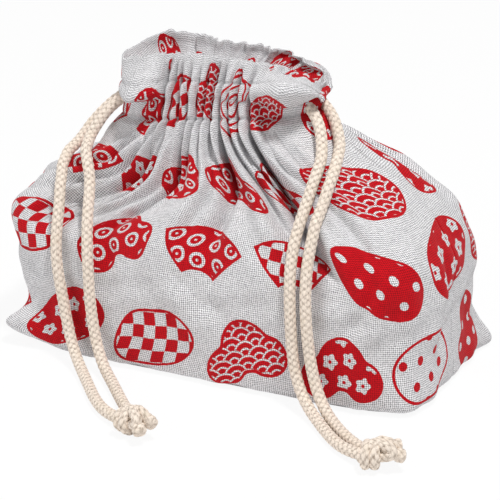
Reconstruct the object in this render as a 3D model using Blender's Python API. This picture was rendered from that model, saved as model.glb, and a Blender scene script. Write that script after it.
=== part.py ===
"""Kinchaku drawstring pouch, drawn shut: one sewn cloth bag with a boxed base, a casing round its
neck, a frill above the casing, and two knotted cords that run through the casing from opposite ends.

Metres, +Z up. The origin is the middle of the base, on the surface that the pouch stands on.
+X runs along the long side of the base and the front faces -Y.
"""

import bpy
import numpy as np
from mathutils.bvhtree import BVHTree

# Boxed base, seam to seam, and the heights of the cloth above the table
BASE_LENGTH = 0.198
BASE_DEPTH = 0.102
SHOULDER_HEIGHT = 0.062
NECK_HEIGHT = 0.105
CASING_HEIGHT = 0.022
FRILL_HEIGHT = 0.011

# Neck, where the casing is gathered on the cords
NECK_LENGTH = 0.084
NECK_DEPTH = 0.030
NECK_SHIFT = -0.014
NECK_RISE = 0.007
FRILL_DROOP = 0.0080
FRILL_LEAN = 0.55
LOOP_LIFT = 0.004
MOUTH_GAP = 0.009
END_WALL = 0.010

# Cloth and cords
CLOTH = 0.0012
CORD_DIAMETER = 0.005
CORD_CLEARANCE = 0.0003
CORD_SPACING = 0.0054
KNOT_WINDING = 0.0043
ROUTE_STEP = 1.5 * CORD_DIAMETER

# Folds of the cloth
PLEAT_DEPTH = 0.0050
PLEAT_WIDTH = 0.0028
FOLD_WIDTH = 0.009
CREASE = 0.0012
WANDER = 0.0016
EAR_REACH = 0.011
EAR_LIFT = 0.006
EAR_WIDTH = 0.013
PUFF_REACH = 0.012

PANEL = BASE_LENGTH + BASE_DEPTH
GIRTH = 2 * PANEL
CORNER = BASE_LENGTH / 2

# Valleys between the gathers of a panel: place along the panel from its middle, how far the valley
# runs down the body from the casing, its depth in the casing and in the body, and its width in the
# body, as shares of the named sizes.
FRONT_VALLEYS = (
    (-0.109, 0.055, 0.1, 1.6, 0.8),
    (-0.096, 0.075, 0.4, 2.4, 0.9),
    (-0.083, 0.085, 0.9, 2.4, 0.9),
    (-0.069, 0.105, 1.1, 3.0, 1.0),
    (-0.057, 0.035, 0.9, 0.9, 0.8),
    (-0.043, 0.105, 1.1, 3.4, 1.2),
    (-0.031, 0.050, 1.0, 1.3, 0.8),
    (-0.019, 0.045, 0.8, 1.0, 0.8),
    (-0.006, 0.035, 1.1, 0.9, 0.8),
    (0.007, 0.105, 1.0, 2.6, 1.0),
    (0.021, 0.045, 0.8, 1.2, 0.8),
    (0.034, 0.050, 1.1, 1.2, 0.8),
    (0.052, 0.105, 1.0, 4.2, 1.3),
    (0.068, 0.040, 0.2, 1.2, 0.8),
    (0.086, 0.060, 0.0, 1.2, 1.2),
)
BACK_VALLEYS = (
    (-0.074, 0.070, 0.3, 2.0, 1.0),
    (-0.058, 0.105, 0.9, 3.2, 1.1),
    (-0.044, 0.040, 1.0, 1.0, 0.8),
    (-0.030, 0.075, 0.9, 2.0, 0.9),
    (-0.017, 0.040, 1.1, 1.0, 0.8),
    (-0.003, 0.100, 1.0, 2.8, 1.2),
    (0.011, 0.040, 0.9, 1.0, 0.8),
    (0.024, 0.055, 1.1, 1.4, 0.8),
    (0.038, 0.105, 1.0, 3.0, 1.1),
    (0.051, 0.040, 0.9, 1.0, 0.8),
    (0.064, 0.085, 1.1, 2.2, 0.9),
    (0.079, 0.100, 0.9, 2.8, 1.1),
    (0.094, 0.050, 0.3, 1.4, 0.8),
)
# Each cord, from its knot up one strand, round inside the casing and down the other strand. Heights
# inside the casing are the cord line's, which the CASING points take from the named sizes.
LEFT_DOWN = (
    (-0.0620, 0.0050, 0.1145), (-0.0690, 0.0025, 0.1125), (-0.0740, -0.0015, 0.1065),
    (-0.0770, -0.0045, 0.0990), (-0.0795, -0.0090, 0.0915), (-0.0805, -0.0180, 0.0860),
    (-0.0785, -0.0285, 0.0820), (-0.0760, -0.0370, 0.0765), (-0.0743, -0.0425, 0.0690),
    (-0.0738, -0.0470, 0.0600), (-0.0728, -0.0500, 0.0500), (-0.0706, -0.0515, 0.0390),
    (-0.0677, -0.0525, 0.0270), (-0.0655, -0.0535, 0.0160), (-0.0625, -0.0555, 0.0085),
    (-0.0570, -0.0605, 0.0042), (-0.0500, -0.0680, 0.0027), (-0.0425, -0.0770, 0.0027),
    (-0.0325, -0.0890, 0.0027), (-0.0245, -0.0965, 0.0027), (-0.0170, -0.1010, 0.0034),
    (-0.0100, -0.1045, 0.0050),
)
LEFT_DOWN_INNER = (
    (-0.0620, -0.0050, 0.1145), (-0.0682, -0.0070, 0.1120), (-0.0715, -0.0100, 0.1060),
    (-0.0722, -0.0130, 0.0985), (-0.0718, -0.0190, 0.0925), (-0.0672, -0.0265, 0.0885),
    (-0.0630, -0.0325, 0.0830), (-0.0605, -0.0400, 0.0750), (-0.0580, -0.0470, 0.0650),
    (-0.0560, -0.0510, 0.0540), (-0.0548, -0.0525, 0.0420), (-0.0540, -0.0533, 0.0290),
    (-0.0520, -0.0540, 0.0180), (-0.0490, -0.0560, 0.0095), (-0.0440, -0.0610, 0.0042),
    (-0.0365, -0.0675, 0.0027), (-0.0270, -0.0790, 0.0027), (-0.0190, -0.0880, 0.0027),
    (-0.0120, -0.0960, 0.0034), (-0.0065, -0.1020, 0.0050),
)
RIGHT_DOWN_INNER = (
    (0.0350, -0.0052, 0.1217), (0.0402, -0.0085, 0.1187), (0.0432, -0.0122, 0.1135),
    (0.0435, -0.0160, 0.1070), (0.0430, -0.0205, 0.1010), (0.0427, -0.0265, 0.0952),
    (0.0423, -0.0335, 0.0880), (0.0412, -0.0410, 0.0785), (0.0405, -0.0465, 0.0680),
    (0.0415, -0.0508, 0.0560), (0.0430, -0.0530, 0.0420), (0.0440, -0.0535, 0.0280),
    (0.0457, -0.0542, 0.0170), (0.0490, -0.0560, 0.0092), (0.0540, -0.0595, 0.0045),
    (0.0610, -0.0655, 0.0027), (0.0710, -0.0765, 0.0027), (0.0800, -0.0850, 0.0027),
    (0.0870, -0.0890, 0.0036), (0.0930, -0.0915, 0.0050),
)
RIGHT_DOWN = (
    (0.0350, 0.0052, 0.1217), (0.0405, 0.0035, 0.1188), (0.0449, -0.0005, 0.1155),
    (0.0465, -0.0055, 0.1100), (0.0476, -0.0120, 0.1048), (0.0485, -0.0185, 0.0992),
    (0.0502, -0.0260, 0.0925), (0.0492, -0.0335, 0.0850), (0.0484, -0.0410, 0.0760),
    (0.0478, -0.0460, 0.0665), (0.0485, -0.0500, 0.0560), (0.0498, -0.0525, 0.0440),
    (0.0513, -0.0533, 0.0320), (0.0535, -0.0542, 0.0200), (0.0567, -0.0558, 0.0110),
    (0.0612, -0.0590, 0.0052), (0.0675, -0.0645, 0.0030), (0.0770, -0.0740, 0.0027),
    (0.0860, -0.0815, 0.0029), (0.0930, -0.0860, 0.0040), (0.0970, -0.0885, 0.0050),
)
# Half of a cord's way round inside the casing, from the neck's middle: along the neck, and across it
CASING_TURN = ((0.0, 0.0080), (0.010, 0.0081), (0.018, 0.0088), (0.0235, 0.0099), (0.0290, 0.0099),
               (0.0335, 0.0078), (0.0363, 0.0042), (0.0370, 0.0))
CASING_WAY_OUT = ((0.010, 0.0080), (0.020, 0.0079), (0.030, 0.0070), (0.040, 0.0056))
LEFT_KNOT = (-0.0045, -0.1070, 0.0072)
RIGHT_KNOT = (0.0990, -0.0920, 0.0072)

# Where the ends of a panel's gathers sit on the panel, and where they sit on the neck
FRONT_GATHERS = ((-0.095, -0.055), (0.060, 0.052))
BACK_GATHERS = ((-0.070, -0.045), (0.090, 0.050))
# The corners of the base that stick out as ears: place along the girth and strength
EARS = ((-CORNER, 1.0), (CORNER, 0.1), (CORNER + BASE_DEPTH, 1.0), (-CORNER - BASE_DEPTH, 0.7))
# Loose ends of the casing that puff out: place along the girth, half width and strength
PUFFS = (
    (0.102, 0.034, 1.35),
    (-0.112, 0.020, 1.0),
    (PANEL + 0.119, 0.025, 0.8),
    (PANEL - 0.104, 0.031, 0.8),
)


def stations():
    """Stations up the cloth, foot to frill: height, half length, half depth, squareness, shift, rise."""
    length, depth = BASE_LENGTH / 2, BASE_DEPTH / 2
    neck_length, neck_depth = NECK_LENGTH / 2, NECK_DEPTH / 2
    slope = NECK_HEIGHT - SHOULDER_HEIGHT
    top = NECK_HEIGHT + CASING_HEIGHT
    return np.array([
        (0.0, length - 0.005, depth - 0.006, 7.0, 0.0, 0.0),
        (0.005, length, depth - 0.001, 6.5, 0.0, 0.0),
        (0.43 * SHOULDER_HEIGHT, length - 0.001, depth - 0.001, 5.0, -0.001, 0.0),
        (0.77 * SHOULDER_HEIGHT, length + 0.003, depth, 4.8, -0.004, 0.0),
        (SHOULDER_HEIGHT, length + 0.003, depth - 0.001, 4.6, -0.006, 0.0),
        (SHOULDER_HEIGHT + 0.29 * slope, length - 0.0065, depth - 0.007, 3.8, -0.0045, 0.15),
        (SHOULDER_HEIGHT + 0.58 * slope, length - 0.025, depth - 0.017, 3.0, -0.003, 0.35),
        (SHOULDER_HEIGHT + 0.84 * slope, neck_length + 0.016, neck_depth + 0.009, 2.6, -0.011, 0.6),
        (NECK_HEIGHT, neck_length + 0.009, neck_depth + 0.004, 2.4, NECK_SHIFT, 0.9),
        (NECK_HEIGHT + 0.25 * CASING_HEIGHT, neck_length + 0.005, neck_depth + 0.001, 2.7, NECK_SHIFT, 1.0),
        (NECK_HEIGHT + 0.62 * CASING_HEIGHT, neck_length + 0.003, neck_depth - 0.001, 2.8, NECK_SHIFT, 0.9),
        (top, neck_length + 0.003, neck_depth, 2.7, NECK_SHIFT + 0.0005, 0.5),
        (top + FRILL_HEIGHT, neck_length + 0.005, neck_depth + 0.001, 2.3, NECK_SHIFT + 0.0015, -0.1),
    ])


STATIONS = stations()
LAST = len(STATIONS) - 1
SHOULDER, NECK, FIRST_STITCH, CORD_LINE, SECOND_STITCH = 4, 8, 9, 10, 11


def at_station(v, column):
    """A column of STATIONS at station number v, on a smooth curve through the stations."""
    values = STATIONS[:, column]
    padded = np.concatenate([[2 * values[0] - values[1]], values, [2 * values[-1] - values[-2]]])
    i = np.clip(np.floor(v).astype(int), 0, LAST - 1)
    f = v - i
    a, b, c, d = (padded[i + k] for k in range(4))
    return b + f * (0.5 * (c - a) + f * (a - 2.5 * b + 2 * c - 0.5 * d + f * (0.5 * (d - a) + 1.5 * (b - c))))


def smooth(x):
    x = np.clip(x, 0.0, 1.0)
    return x * x * (3 - 2 * x)


def round_girth(s, place):
    """Signed distance along the girth from place to s, the short way round."""
    return (s - place + PANEL) % GIRTH - PANEL


def hump(s, place, width):
    return np.exp(-((round_girth(s, place) / width) ** 2))


def gathered(s):
    """Where the cloth at s sits round the neck, on a girth as long as the cloth's."""
    places, moved = [], []
    for middle, ends in ((0.0, FRONT_GATHERS), (PANEL, BACK_GATHERS)):
        for place, neck_place in ((-PANEL / 2, -PANEL / 2),) + ends:
            places.append(middle + place)
            moved.append(middle + neck_place)
    places.append(PANEL + PANEL / 2)
    moved.append(PANEL + PANEL / 2)
    start = places[0]
    return np.interp((s - start) % GIRTH + start, places, moved)


def smooth_cloth(s, v, wall=0.0):
    """The cloth without its folds: s runs round the girth from the front's middle, v up the stations.

    wall is 1 where the face is the inside of the thick casing and 0 where it is the outer face.
    """
    places = np.array([-PANEL, -CORNER - BASE_DEPTH, -CORNER, CORNER, CORNER + BASE_DEPTH, PANEL])
    s = s + smooth((v - SHOULDER) / 4.2) * round_girth(gathered(s), s)
    along = round_girth(s, 0.0)
    x = np.interp(along, places, [0, -1, -1, 1, 1, 0])
    y = np.interp(along, places, [1, 1, -1, -1, 1, 1])
    height, length, depth, square, shift, rise = (at_station(v, k) for k in range(6))
    size = (np.abs(x) ** square + np.abs(y) ** square) ** (1 / square)
    length = length - wall * END_WALL
    depth = depth + wall * (MOUTH_GAP / 2 - depth)
    x, y = x / size, y / size
    frill = np.clip((v - CORD_LINE - 0.4) / 1.6, 0.0, 1.0) ** 1.2
    shut = smooth((x + 0.95) / 0.8)
    z = height + rise * NECK_RISE * x + frill * (LOOP_LIFT * y * (1 - shut) - FRILL_DROOP * x ** 4)
    closed = 1 - frill * FRILL_LEAN * shut
    return np.stack([length * x + shift, depth * closed * y, z], axis=-1)


def out_of_cloth(s, v):
    """Unit normals of the smooth cloth, pointing out."""
    step_s, step_v = 5e-4, 1e-3
    v = np.clip(v, step_v, LAST - step_v)
    across = smooth_cloth(s + step_s, v) - smooth_cloth(s - step_s, v)
    up = smooth_cloth(s, v + step_v) - smooth_cloth(s, v - step_v)
    normal = np.cross(across, up)
    return normal / np.linalg.norm(normal, axis=-1, keepdims=True)


def below_casing(v):
    """Distance down the front of the cloth from the casing's lower stitching, and 0 above it."""
    numbers = np.linspace(0, LAST, 200)
    height, depth = at_station(numbers, 0), at_station(numbers, 2)
    run = np.concatenate([[0], np.cumsum(np.hypot(np.diff(height), np.diff(depth)))])
    return np.maximum(np.interp(FIRST_STITCH, numbers, run) - np.interp(v, numbers, run), 0.0)


def pleats(s, v):
    """How far the gathers move the cloth out along its normal."""
    down = below_casing(v)
    moved = np.zeros(np.broadcast(s, v).shape)
    for panel, valleys in ((0.0, FRONT_VALLEYS), (PANEL, BACK_VALLEYS)):
        for place, reach, neck_depth, body_depth, share in valleys:
            width = PLEAT_WIDTH + share * FOLD_WIDTH * smooth(down / 0.10)
            fade = (1 - smooth(down / reach)) * (1 - 0.4 * smooth(v - SECOND_STITCH))
            depth = neck_depth + (body_depth - neck_depth) * smooth(down / 0.03)
            away = round_girth(s, panel + place + WANDER * np.sin(900 * place + 1.1 * v))
            valley = np.exp((CREASE - np.hypot(away, CREASE)) / width)
            moved = moved - depth * PLEAT_DEPTH * fade * valley
    lift = 0.4 * PLEAT_DEPTH * (1 - smooth(down / 0.05))
    return moved + lift


def ears(s, v):
    """How strongly the corners of the base stick out."""
    near_foot = np.exp(-((at_station(v, 0) - 0.004) / 0.011) ** 2)
    return near_foot * sum(strength * hump(s, place, EAR_WIDTH) for place, strength in EARS)


def puffs(s, v):
    """How strongly the loose ends of the casing puff out."""
    window = smooth((v - CORD_LINE) / 0.7) * (1 - 0.95 * smooth((v - CORD_LINE - 0.5) / 1.6))
    return window * sum(strength * hump(s, place, width) for place, width, strength in PUFFS)


def moved_cloth(s, v, folds, ear_share):
    """The cloth moved out along its normal by folds, with its puffs and a share of its ears."""
    ear, puff = ear_share * ears(s, v), puffs(s, v)
    points = smooth_cloth(s, v)
    points[..., 0] += EAR_REACH * ear * np.sign(points[..., 0])
    points[..., 1] += 0.4 * EAR_REACH * ear * np.sign(points[..., 1])
    points = points + out_of_cloth(s, v) * (folds + PUFF_REACH * puff)[..., None]
    hang = np.exp(-((v - CORD_LINE - 0.4) / 0.5) ** 2)
    points[..., 2] += EAR_LIFT * ear - 0.3 * PUFF_REACH * puff * hang
    return points


def clear_the_scene():
    for obj in list(bpy.data.objects):
        bpy.data.objects.remove(obj)


def finish(name, colour, roughness):
    """A material with a Principled BSDF of this colour and roughness."""
    material = bpy.data.materials.new(name)
    material.use_nodes = True
    shader = material.node_tree.nodes["Principled BSDF"]
    shader.inputs["Base Color"].default_value = (*colour, 1.0)
    shader.inputs["Roughness"].default_value = roughness
    shader.inputs["Metallic"].default_value = 0.0
    return material


def make_mesh(name, points, faces, material=None):
    mesh = bpy.data.meshes.new(name)
    mesh.from_pydata([tuple(p) for p in points], [], faces)
    mesh.update()
    obj = bpy.data.objects.new(name, mesh)
    bpy.context.scene.collection.objects.link(obj)
    if material:
        mesh.materials.append(material)
    return obj


def columns():
    """Places round the girth: the middle of every valley, with steps between that are closer in front."""
    widest = 0.0095
    valleys = [fold[0] for fold in FRONT_VALLEYS] + [PANEL + fold[0] for fold in BACK_VALLEYS]
    valleys.append(valleys[0] + GIRTH)
    found = []
    for a, b in zip(valleys[:-1], valleys[1:]):
        least = 4 if a < CORNER else 3
        count = max(least, int(np.ceil((b - a) / widest)))
        found += [a + (b - a) * k / count for k in range(count)]
    return np.array(found)


def quads_between(lower, upper, count):
    """Faces between two closed rings of count points that start at these numbers."""
    return [
        (lower + i, lower + (i + 1) % count, upper + (i + 1) % count, upper + i) for i in range(count)
    ]


def below_folds(folds):
    """The deepest fold near each place of these rings, eased along the rings."""
    deepest = np.min([np.roll(folds, k, axis=1) for k in (-2, -1, 0, 1, 2)], axis=0)
    return np.mean([np.roll(deepest, k, axis=1) for k in (-1, 0, 1)], axis=0)


def inner_faces(s, rows):
    """The inner face at these rows: a cloth's thickness under the folds, or further in the casing."""
    v = rows[:, None] + np.zeros(len(s))
    s = s[None] + np.zeros(v.shape)
    casing = smooth((v - NECK + 0.4) / 1.0) * (1 - smooth((v - CORD_LINE - 0.7) / 1.2))
    follow = moved_cloth(s, v, below_folds(pleats(s, v)) - CLOTH, 0.0)
    plain = smooth_cloth(s, v, 1.0)
    return follow * (1 - casing[..., None]) + plain * casing[..., None]


def foot_ring(s, share, height):
    """A ring of the base, at a share of its size."""
    points = smooth_cloth(s, np.full(len(s), 0.6)) * share
    points[:, 2] = height
    return points


def make_pouch(material):
    """The sewn bag as one closed shell: outer face, frill edge, inner face, and both sides of the base."""
    s = columns()
    count = len(s)
    outer_rows = np.array([0, 0.5, 1, 1.7, 2.6, 3.4, 4, 4.6, 5.2, 5.8, 6.4, 7, 7.5,
                           8, 8.4, 8.8, 9.2, 9.7, 10.3, 11, 12])
    inner_rows = np.array([1.7, 2.6, 3.4, 4, 4.6, 5.2, 5.8, 6.4, 7, 7.5, 8, 8.4, 8.8, 10, 10.7, 11.3, 12])
    s_grid, v_grid = np.meshgrid(s, outer_rows)
    rings = [foot_ring(s, 0.80, 0.0)]
    rings += list(moved_cloth(s_grid, v_grid, pleats(s_grid, v_grid), 1.0))
    rings += list(inner_faces(s, inner_rows)[::-1])
    rings += [foot_ring(s, 0.955, 0.009), foot_ring(s, 0.80, CLOTH)]
    points = list(np.concatenate(rings))
    faces = []
    for row in range(len(rings) - 1):
        faces += quads_between(row * count, (row + 1) * count, count)
    under, floor = len(points), len(points) + 1
    points += [np.array([0.0, 0.0, 0.0]), np.array([0.0, 0.0, CLOTH])]
    last = (len(rings) - 1) * count
    faces += [((i + 1) % count, i, under) for i in range(count)]
    faces += [(last + i, last + (i + 1) % count, floor) for i in range(count)]
    return make_mesh("pouch_cloth", points, faces, material)


def through(points, spacing):
    """Evenly spaced points on a smooth curve through these points."""
    points = np.array(points)
    padded = np.concatenate([[2 * points[0] - points[1]], points, [2 * points[-1] - points[-2]]])
    found = []
    for i in range(len(points) - 1):
        a, b, c, d = padded[i:i + 4]
        f = np.linspace(0, 1, 12, endpoint=False)[:, None]
        found.append(b + f * (0.5 * (c - a) + f * (a - 2.5 * b + 2 * c - 0.5 * d
                                                   + f * (0.5 * (d - a) + 1.5 * (b - c)))))
    found = np.concatenate(found + [points[-1:]])
    run = np.concatenate([[0], np.cumsum(np.linalg.norm(np.diff(found, axis=0), axis=1))])
    even = np.linspace(0, run[-1], int(round(run[-1] / spacing)) + 1)
    return np.stack([np.interp(even, run, found[:, k]) for k in range(3)], axis=1)


def in_casing(along, across, level):
    """A point of the cord line: along the neck from its middle, across it, and level above the line."""
    height = NECK_HEIGHT + 0.62 * CASING_HEIGHT + 0.9 * NECK_RISE * along / (NECK_LENGTH / 2 + 0.003)
    return (NECK_SHIFT + along, across, height + level)


def casing_way(side, level):
    """Round inside the casing, in at the front on this side (-1 left, 1 right) and out at the back."""
    front = [in_casing(side * x, -y, level) for x, y in reversed(CASING_WAY_OUT)]
    round_end = [in_casing(-side * x, -y, level) for x, y in CASING_TURN]
    back_again = [in_casing(-side * x, y, level) for x, y in reversed(CASING_TURN[:-1])]
    back = [in_casing(side * x, y, level) for x, y in CASING_WAY_OUT]
    return front + round_end + back_again + back


def cord_route(side, level, front_strand, back_strand):
    """The whole route of one cord, and the number of its points that lie in and near the casing."""
    casing = through([front_strand[1], front_strand[0]] + casing_way(side, level)
                     + [back_strand[0], back_strand[1]], ROUTE_STEP)
    up = through(front_strand[1:], ROUTE_STEP)[::-1]
    down = through(back_strand[1:], ROUTE_STEP)
    return np.concatenate([up[:-1], casing, down[1:]]), len(up) - 1, len(up) - 1 + len(casing)


def off_the_cloth(tree, point, clear):
    """The move that brings a point this far off the cloth, or none where it is clear already."""
    place, normal, _, distance = tree.find_nearest(point)
    away = point - np.array(place)
    if away @ np.array(normal) < 0:
        return np.array(normal) * clear - away
    if distance < clear:
        return away * (clear / distance - 1)
    return np.zeros(3)


def rest_on(cloth, route, first, last):
    """Moves a route's strands, not its part in the casing, off the cloth and the table."""
    tree = BVHTree.FromPolygons([v.co[:] for v in cloth.data.vertices],
                                [p.vertices[:] for p in cloth.data.polygons])
    clear = CORD_DIAMETER / 2 + CORD_CLEARANCE + 0.0001
    free = np.ones(len(route), bool)
    free[first + 2:last - 2] = False
    free[[0, -1]] = False
    for step in range(34):
        if step < 26:
            eased = route.copy()
            eased[1:-1] = 0.5 * route[1:-1] + 0.25 * (route[:-2] + route[2:])
            share = 0.6 if step < 18 else 0.3
            route[free] = (1 - share) * route[free] + share * eased[free]
        for i in np.flatnonzero(free):
            route[i] += off_the_cloth(tree, route[i], clear)
            if free[i - 1]:
                between = off_the_cloth(tree, (route[i - 1] + route[i]) / 2, clear)
                route[i - 1] += between
                route[i] += between
            route[i][2] = max(route[i][2], CORD_DIAMETER / 2 + 0.0001)
    return route


def tube(name, route, radius, sides, material=None):
    """A closed round tube along a route, its rings turned as little as they can be."""
    ahead = np.gradient(route, axis=0)
    ahead /= np.linalg.norm(ahead, axis=1, keepdims=True)
    out = np.cross(ahead[0], (0.0, 0.0, 1.0))
    if np.linalg.norm(out) < 0.1:
        out = np.cross(ahead[0], (0.0, 1.0, 0.0))
    turn = np.linspace(0, 2 * np.pi, sides, endpoint=False)[:, None]
    points = []
    for place, along in zip(route, ahead):
        out = out - along * (out @ along)
        out /= np.linalg.norm(out)
        points.append(place + radius * (np.cos(turn) * out + np.sin(turn) * np.cross(along, out)))
    faces = []
    for ring in range(len(route) - 1):
        faces += [(b, a, d, c) for a, b, c, d in quads_between(ring * sides, (ring + 1) * sides, sides)]
    last = (len(route) - 1) * sides
    faces = [face[::-1] for face in faces]
    faces.append(tuple(reversed(range(sides))))
    faces.append(tuple(range(last, last + sides)))
    return make_mesh(name, np.concatenate(points), faces, material)


def knot_winding(centre, heading):
    """The middle line of a tight overhand knot's cord: two turns that pass through one another."""
    t = np.linspace(0, 2 * np.pi, 90, endpoint=False)
    wide = KNOT_WINDING * (2 + np.cos(3 * t)) / 2
    x, y, z = wide * np.cos(2 * t), wide * np.sin(2 * t), 0.55 * KNOT_WINDING * np.sin(3 * t)
    tilt = 0.45
    y, z = y * np.cos(tilt) - z * np.sin(tilt), y * np.sin(tilt) + z * np.cos(tilt)
    along, across = np.cos(heading), np.sin(heading)
    return np.array(centre) + np.stack([x * along - y * across, x * across + y * along, z], axis=1)


def knot_reach(directions, centre, heading):
    """How far the knot reaches from its centre in each direction: the outside of its winding and ends."""
    centre = np.array(centre)
    line = knot_winding(centre, heading) - centre
    along = np.array([np.cos(heading), np.sin(heading), 0.0])
    across = np.array([-along[1], along[0], 0.0])
    for side in (-1.0, 1.0):
        end = along * 0.0095 + across * side * 0.0048 + np.array([0, 0, -0.0018 + 0.0012 * side])
        line = np.concatenate([line, np.linspace(0.3, 1.0, 12)[:, None] * end])
    radius = CORD_DIAMETER / 2
    forward = directions @ line.T
    beside = np.maximum((line ** 2).sum(axis=1)[None] - forward ** 2, 0.0)
    reach = np.where(beside < radius ** 2, forward + np.sqrt(np.maximum(radius ** 2 - beside, 0.0)), 0.0)
    reach = np.maximum(reach.max(axis=1), 0.0045)
    down = directions[:, 2] < -1e-6
    floor = np.where(down, (centre[2] - 0.0002) / np.maximum(-directions[:, 2], 1e-6), np.inf)
    return np.minimum(reach, floor)


def cord_curve(name, route, material):
    """A cord as a round bevelled curve with closed ends."""
    curve = bpy.data.curves.new(name, "CURVE")
    curve.dimensions = "3D"
    curve.twist_mode = "MINIMUM"
    curve.bevel_depth = CORD_DIAMETER / 2
    curve.bevel_resolution = 2
    curve.use_fill_caps = True
    spline = curve.splines.new("POLY")
    spline.points.add(len(route) - 1)
    for point, place in zip(spline.points, route):
        point.co = (*place, 1.0)
    curve.materials.append(material)
    obj = bpy.data.objects.new(name, curve)
    bpy.context.scene.collection.objects.link(obj)
    return obj


def make_knot(name, centre, heading, material):
    rings, sides = 14, 22
    faces = []
    lift = np.linspace(-np.pi / 2, np.pi / 2, rings)[1:-1]
    turn = np.linspace(0, 2 * np.pi, sides, endpoint=False)
    directions = [(0.0, 0.0, -1.0)]
    for a in lift:
        directions += [(np.cos(a) * np.cos(b), np.cos(a) * np.sin(b), np.sin(a)) for b in turn]
    directions.append((0.0, 0.0, 1.0))
    directions = np.array(directions)
    points = np.array(centre) + directions * knot_reach(directions, centre, heading)[:, None]
    for ring in range(rings - 3):
        faces += quads_between(1 + ring * sides, 1 + (ring + 1) * sides, sides)
    top, last = len(points) - 1, 1 + (rings - 3) * sides
    faces += [(1 + (i + 1) % sides, 1 + i, 0) for i in range(sides)]
    faces += [(last + i, last + (i + 1) % sides, top) for i in range(sides)]
    return make_mesh(name, points, faces, material)


def meets_knot(place, along, centre, heading):
    """How far the flat end of a cord at this place is from the knot, at its nearest point."""
    side = np.cross(along, (0.0, 0.0, 1.0))
    side /= np.linalg.norm(side)
    turn = np.linspace(0, 2 * np.pi, 12, endpoint=False)[:, None]
    rim = place + CORD_DIAMETER / 2 * (np.cos(turn) * side + np.sin(turn) * np.cross(along, side))
    from_knot = np.concatenate([rim, [place]]) - np.array(centre)
    distance = np.linalg.norm(from_knot, axis=1)
    return (distance - knot_reach(from_knot / distance[:, None], centre, heading)).min()


def stop_at_knot(route, centre, heading):
    """A route whose last point comes face to face with the knot, with the cord's clearance between."""
    for i in range(1, len(route)):
        along = route[i] - route[i - 1]
        for share in np.linspace(0, 1, 40):
            place = route[i - 1] + share * along
            if meets_knot(place, along / np.linalg.norm(along), centre, heading) < CORD_CLEARANCE:
                kept = i if share > 0.3 else i - 1
                return np.concatenate([route[:kept], [route[i - 1] + (share - 0.03) * along]])
    return route


def clear_of_knot(route, centre, heading):
    """A route whose two ends come face to face with the knot."""
    middle = len(route) // 2
    up = stop_at_knot(route[:middle][::-1], centre, heading)[::-1]
    return np.concatenate([up, stop_at_knot(route[middle:], centre, heading)])


def build():
    clear_the_scene()
    cloth = finish("printed_canvas", (0.80, 0.78, 0.79), 0.85)
    cord = finish("cream_cord", (0.80, 0.71, 0.58), 0.80)
    pouch = make_pouch(cloth)
    sides = (
        ("left", -1, CORD_SPACING / 2, LEFT_DOWN_INNER, LEFT_DOWN, LEFT_KNOT, -0.45),
        ("right", 1, -CORD_SPACING / 2, RIGHT_DOWN_INNER, RIGHT_DOWN, RIGHT_KNOT, 0.35),
    )
    for name, side, level, front_strand, back_strand, centre, heading in sides:
        route, first, last = cord_route(side, level, front_strand, back_strand)
        route = rest_on(pouch, route, first, last)
        bore = CORD_DIAMETER / 2 + CORD_CLEARANCE
        cutter = tube(name + "_channel", route[first:last], bore / np.cos(np.pi / 8), 8)
        cutter.hide_render = True
        cutter.display_type = "WIRE"
        cut = pouch.modifiers.new(name + "_channel", "BOOLEAN")
        cut.operation = "DIFFERENCE"
        cut.solver = "EXACT"
        cut.object = cutter
        make_knot(name + "_knot", centre, heading, cord)
        cord_curve(name + "_cord", clear_of_knot(route, centre, heading), cord)


build()
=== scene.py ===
# %% [markdown]
# # A drawstring pouch of printed canvas
# The pouch is a sewn cotton bag with a boxed base. A casing runs round its neck, and two knotted cords
# run through the casing and draw the mouth shut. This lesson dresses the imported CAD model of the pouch:
# the cloth becomes a thin sheet with gathers and a woven, printed finish, and the cords become braids.
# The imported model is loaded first, because it fixes where everything goes, and nothing here moves it.

import math

import bpy
import numpy as np
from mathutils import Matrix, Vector
from mathutils.bvhtree import BVHTree


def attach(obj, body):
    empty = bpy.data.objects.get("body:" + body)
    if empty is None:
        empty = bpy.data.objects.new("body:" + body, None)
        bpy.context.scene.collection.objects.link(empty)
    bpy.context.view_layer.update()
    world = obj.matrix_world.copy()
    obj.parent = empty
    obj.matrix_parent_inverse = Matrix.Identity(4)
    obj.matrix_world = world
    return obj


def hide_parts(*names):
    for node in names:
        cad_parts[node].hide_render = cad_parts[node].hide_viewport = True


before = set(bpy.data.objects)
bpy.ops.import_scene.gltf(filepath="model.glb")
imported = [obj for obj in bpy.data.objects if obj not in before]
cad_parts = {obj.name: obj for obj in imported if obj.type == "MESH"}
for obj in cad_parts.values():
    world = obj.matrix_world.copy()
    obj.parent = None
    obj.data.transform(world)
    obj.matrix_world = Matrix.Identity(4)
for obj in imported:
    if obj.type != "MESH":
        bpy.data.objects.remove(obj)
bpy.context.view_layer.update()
print("packed nodes:", sorted(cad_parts))


def add_object(name, data):
    """A new object that holds this data, in the scene."""
    obj = bpy.data.objects.new(name, data)
    bpy.context.scene.collection.objects.link(obj)
    return obj


# %% [markdown]
# The camera looks at the pouch from a little above and from its right. The pouch is photographed from
# about a metre away, so a long lens is used, which keeps the upright edges nearly parallel. The picture
# is 500 pixels wide and 230 mm of the pouch's surroundings fit in it.

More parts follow.
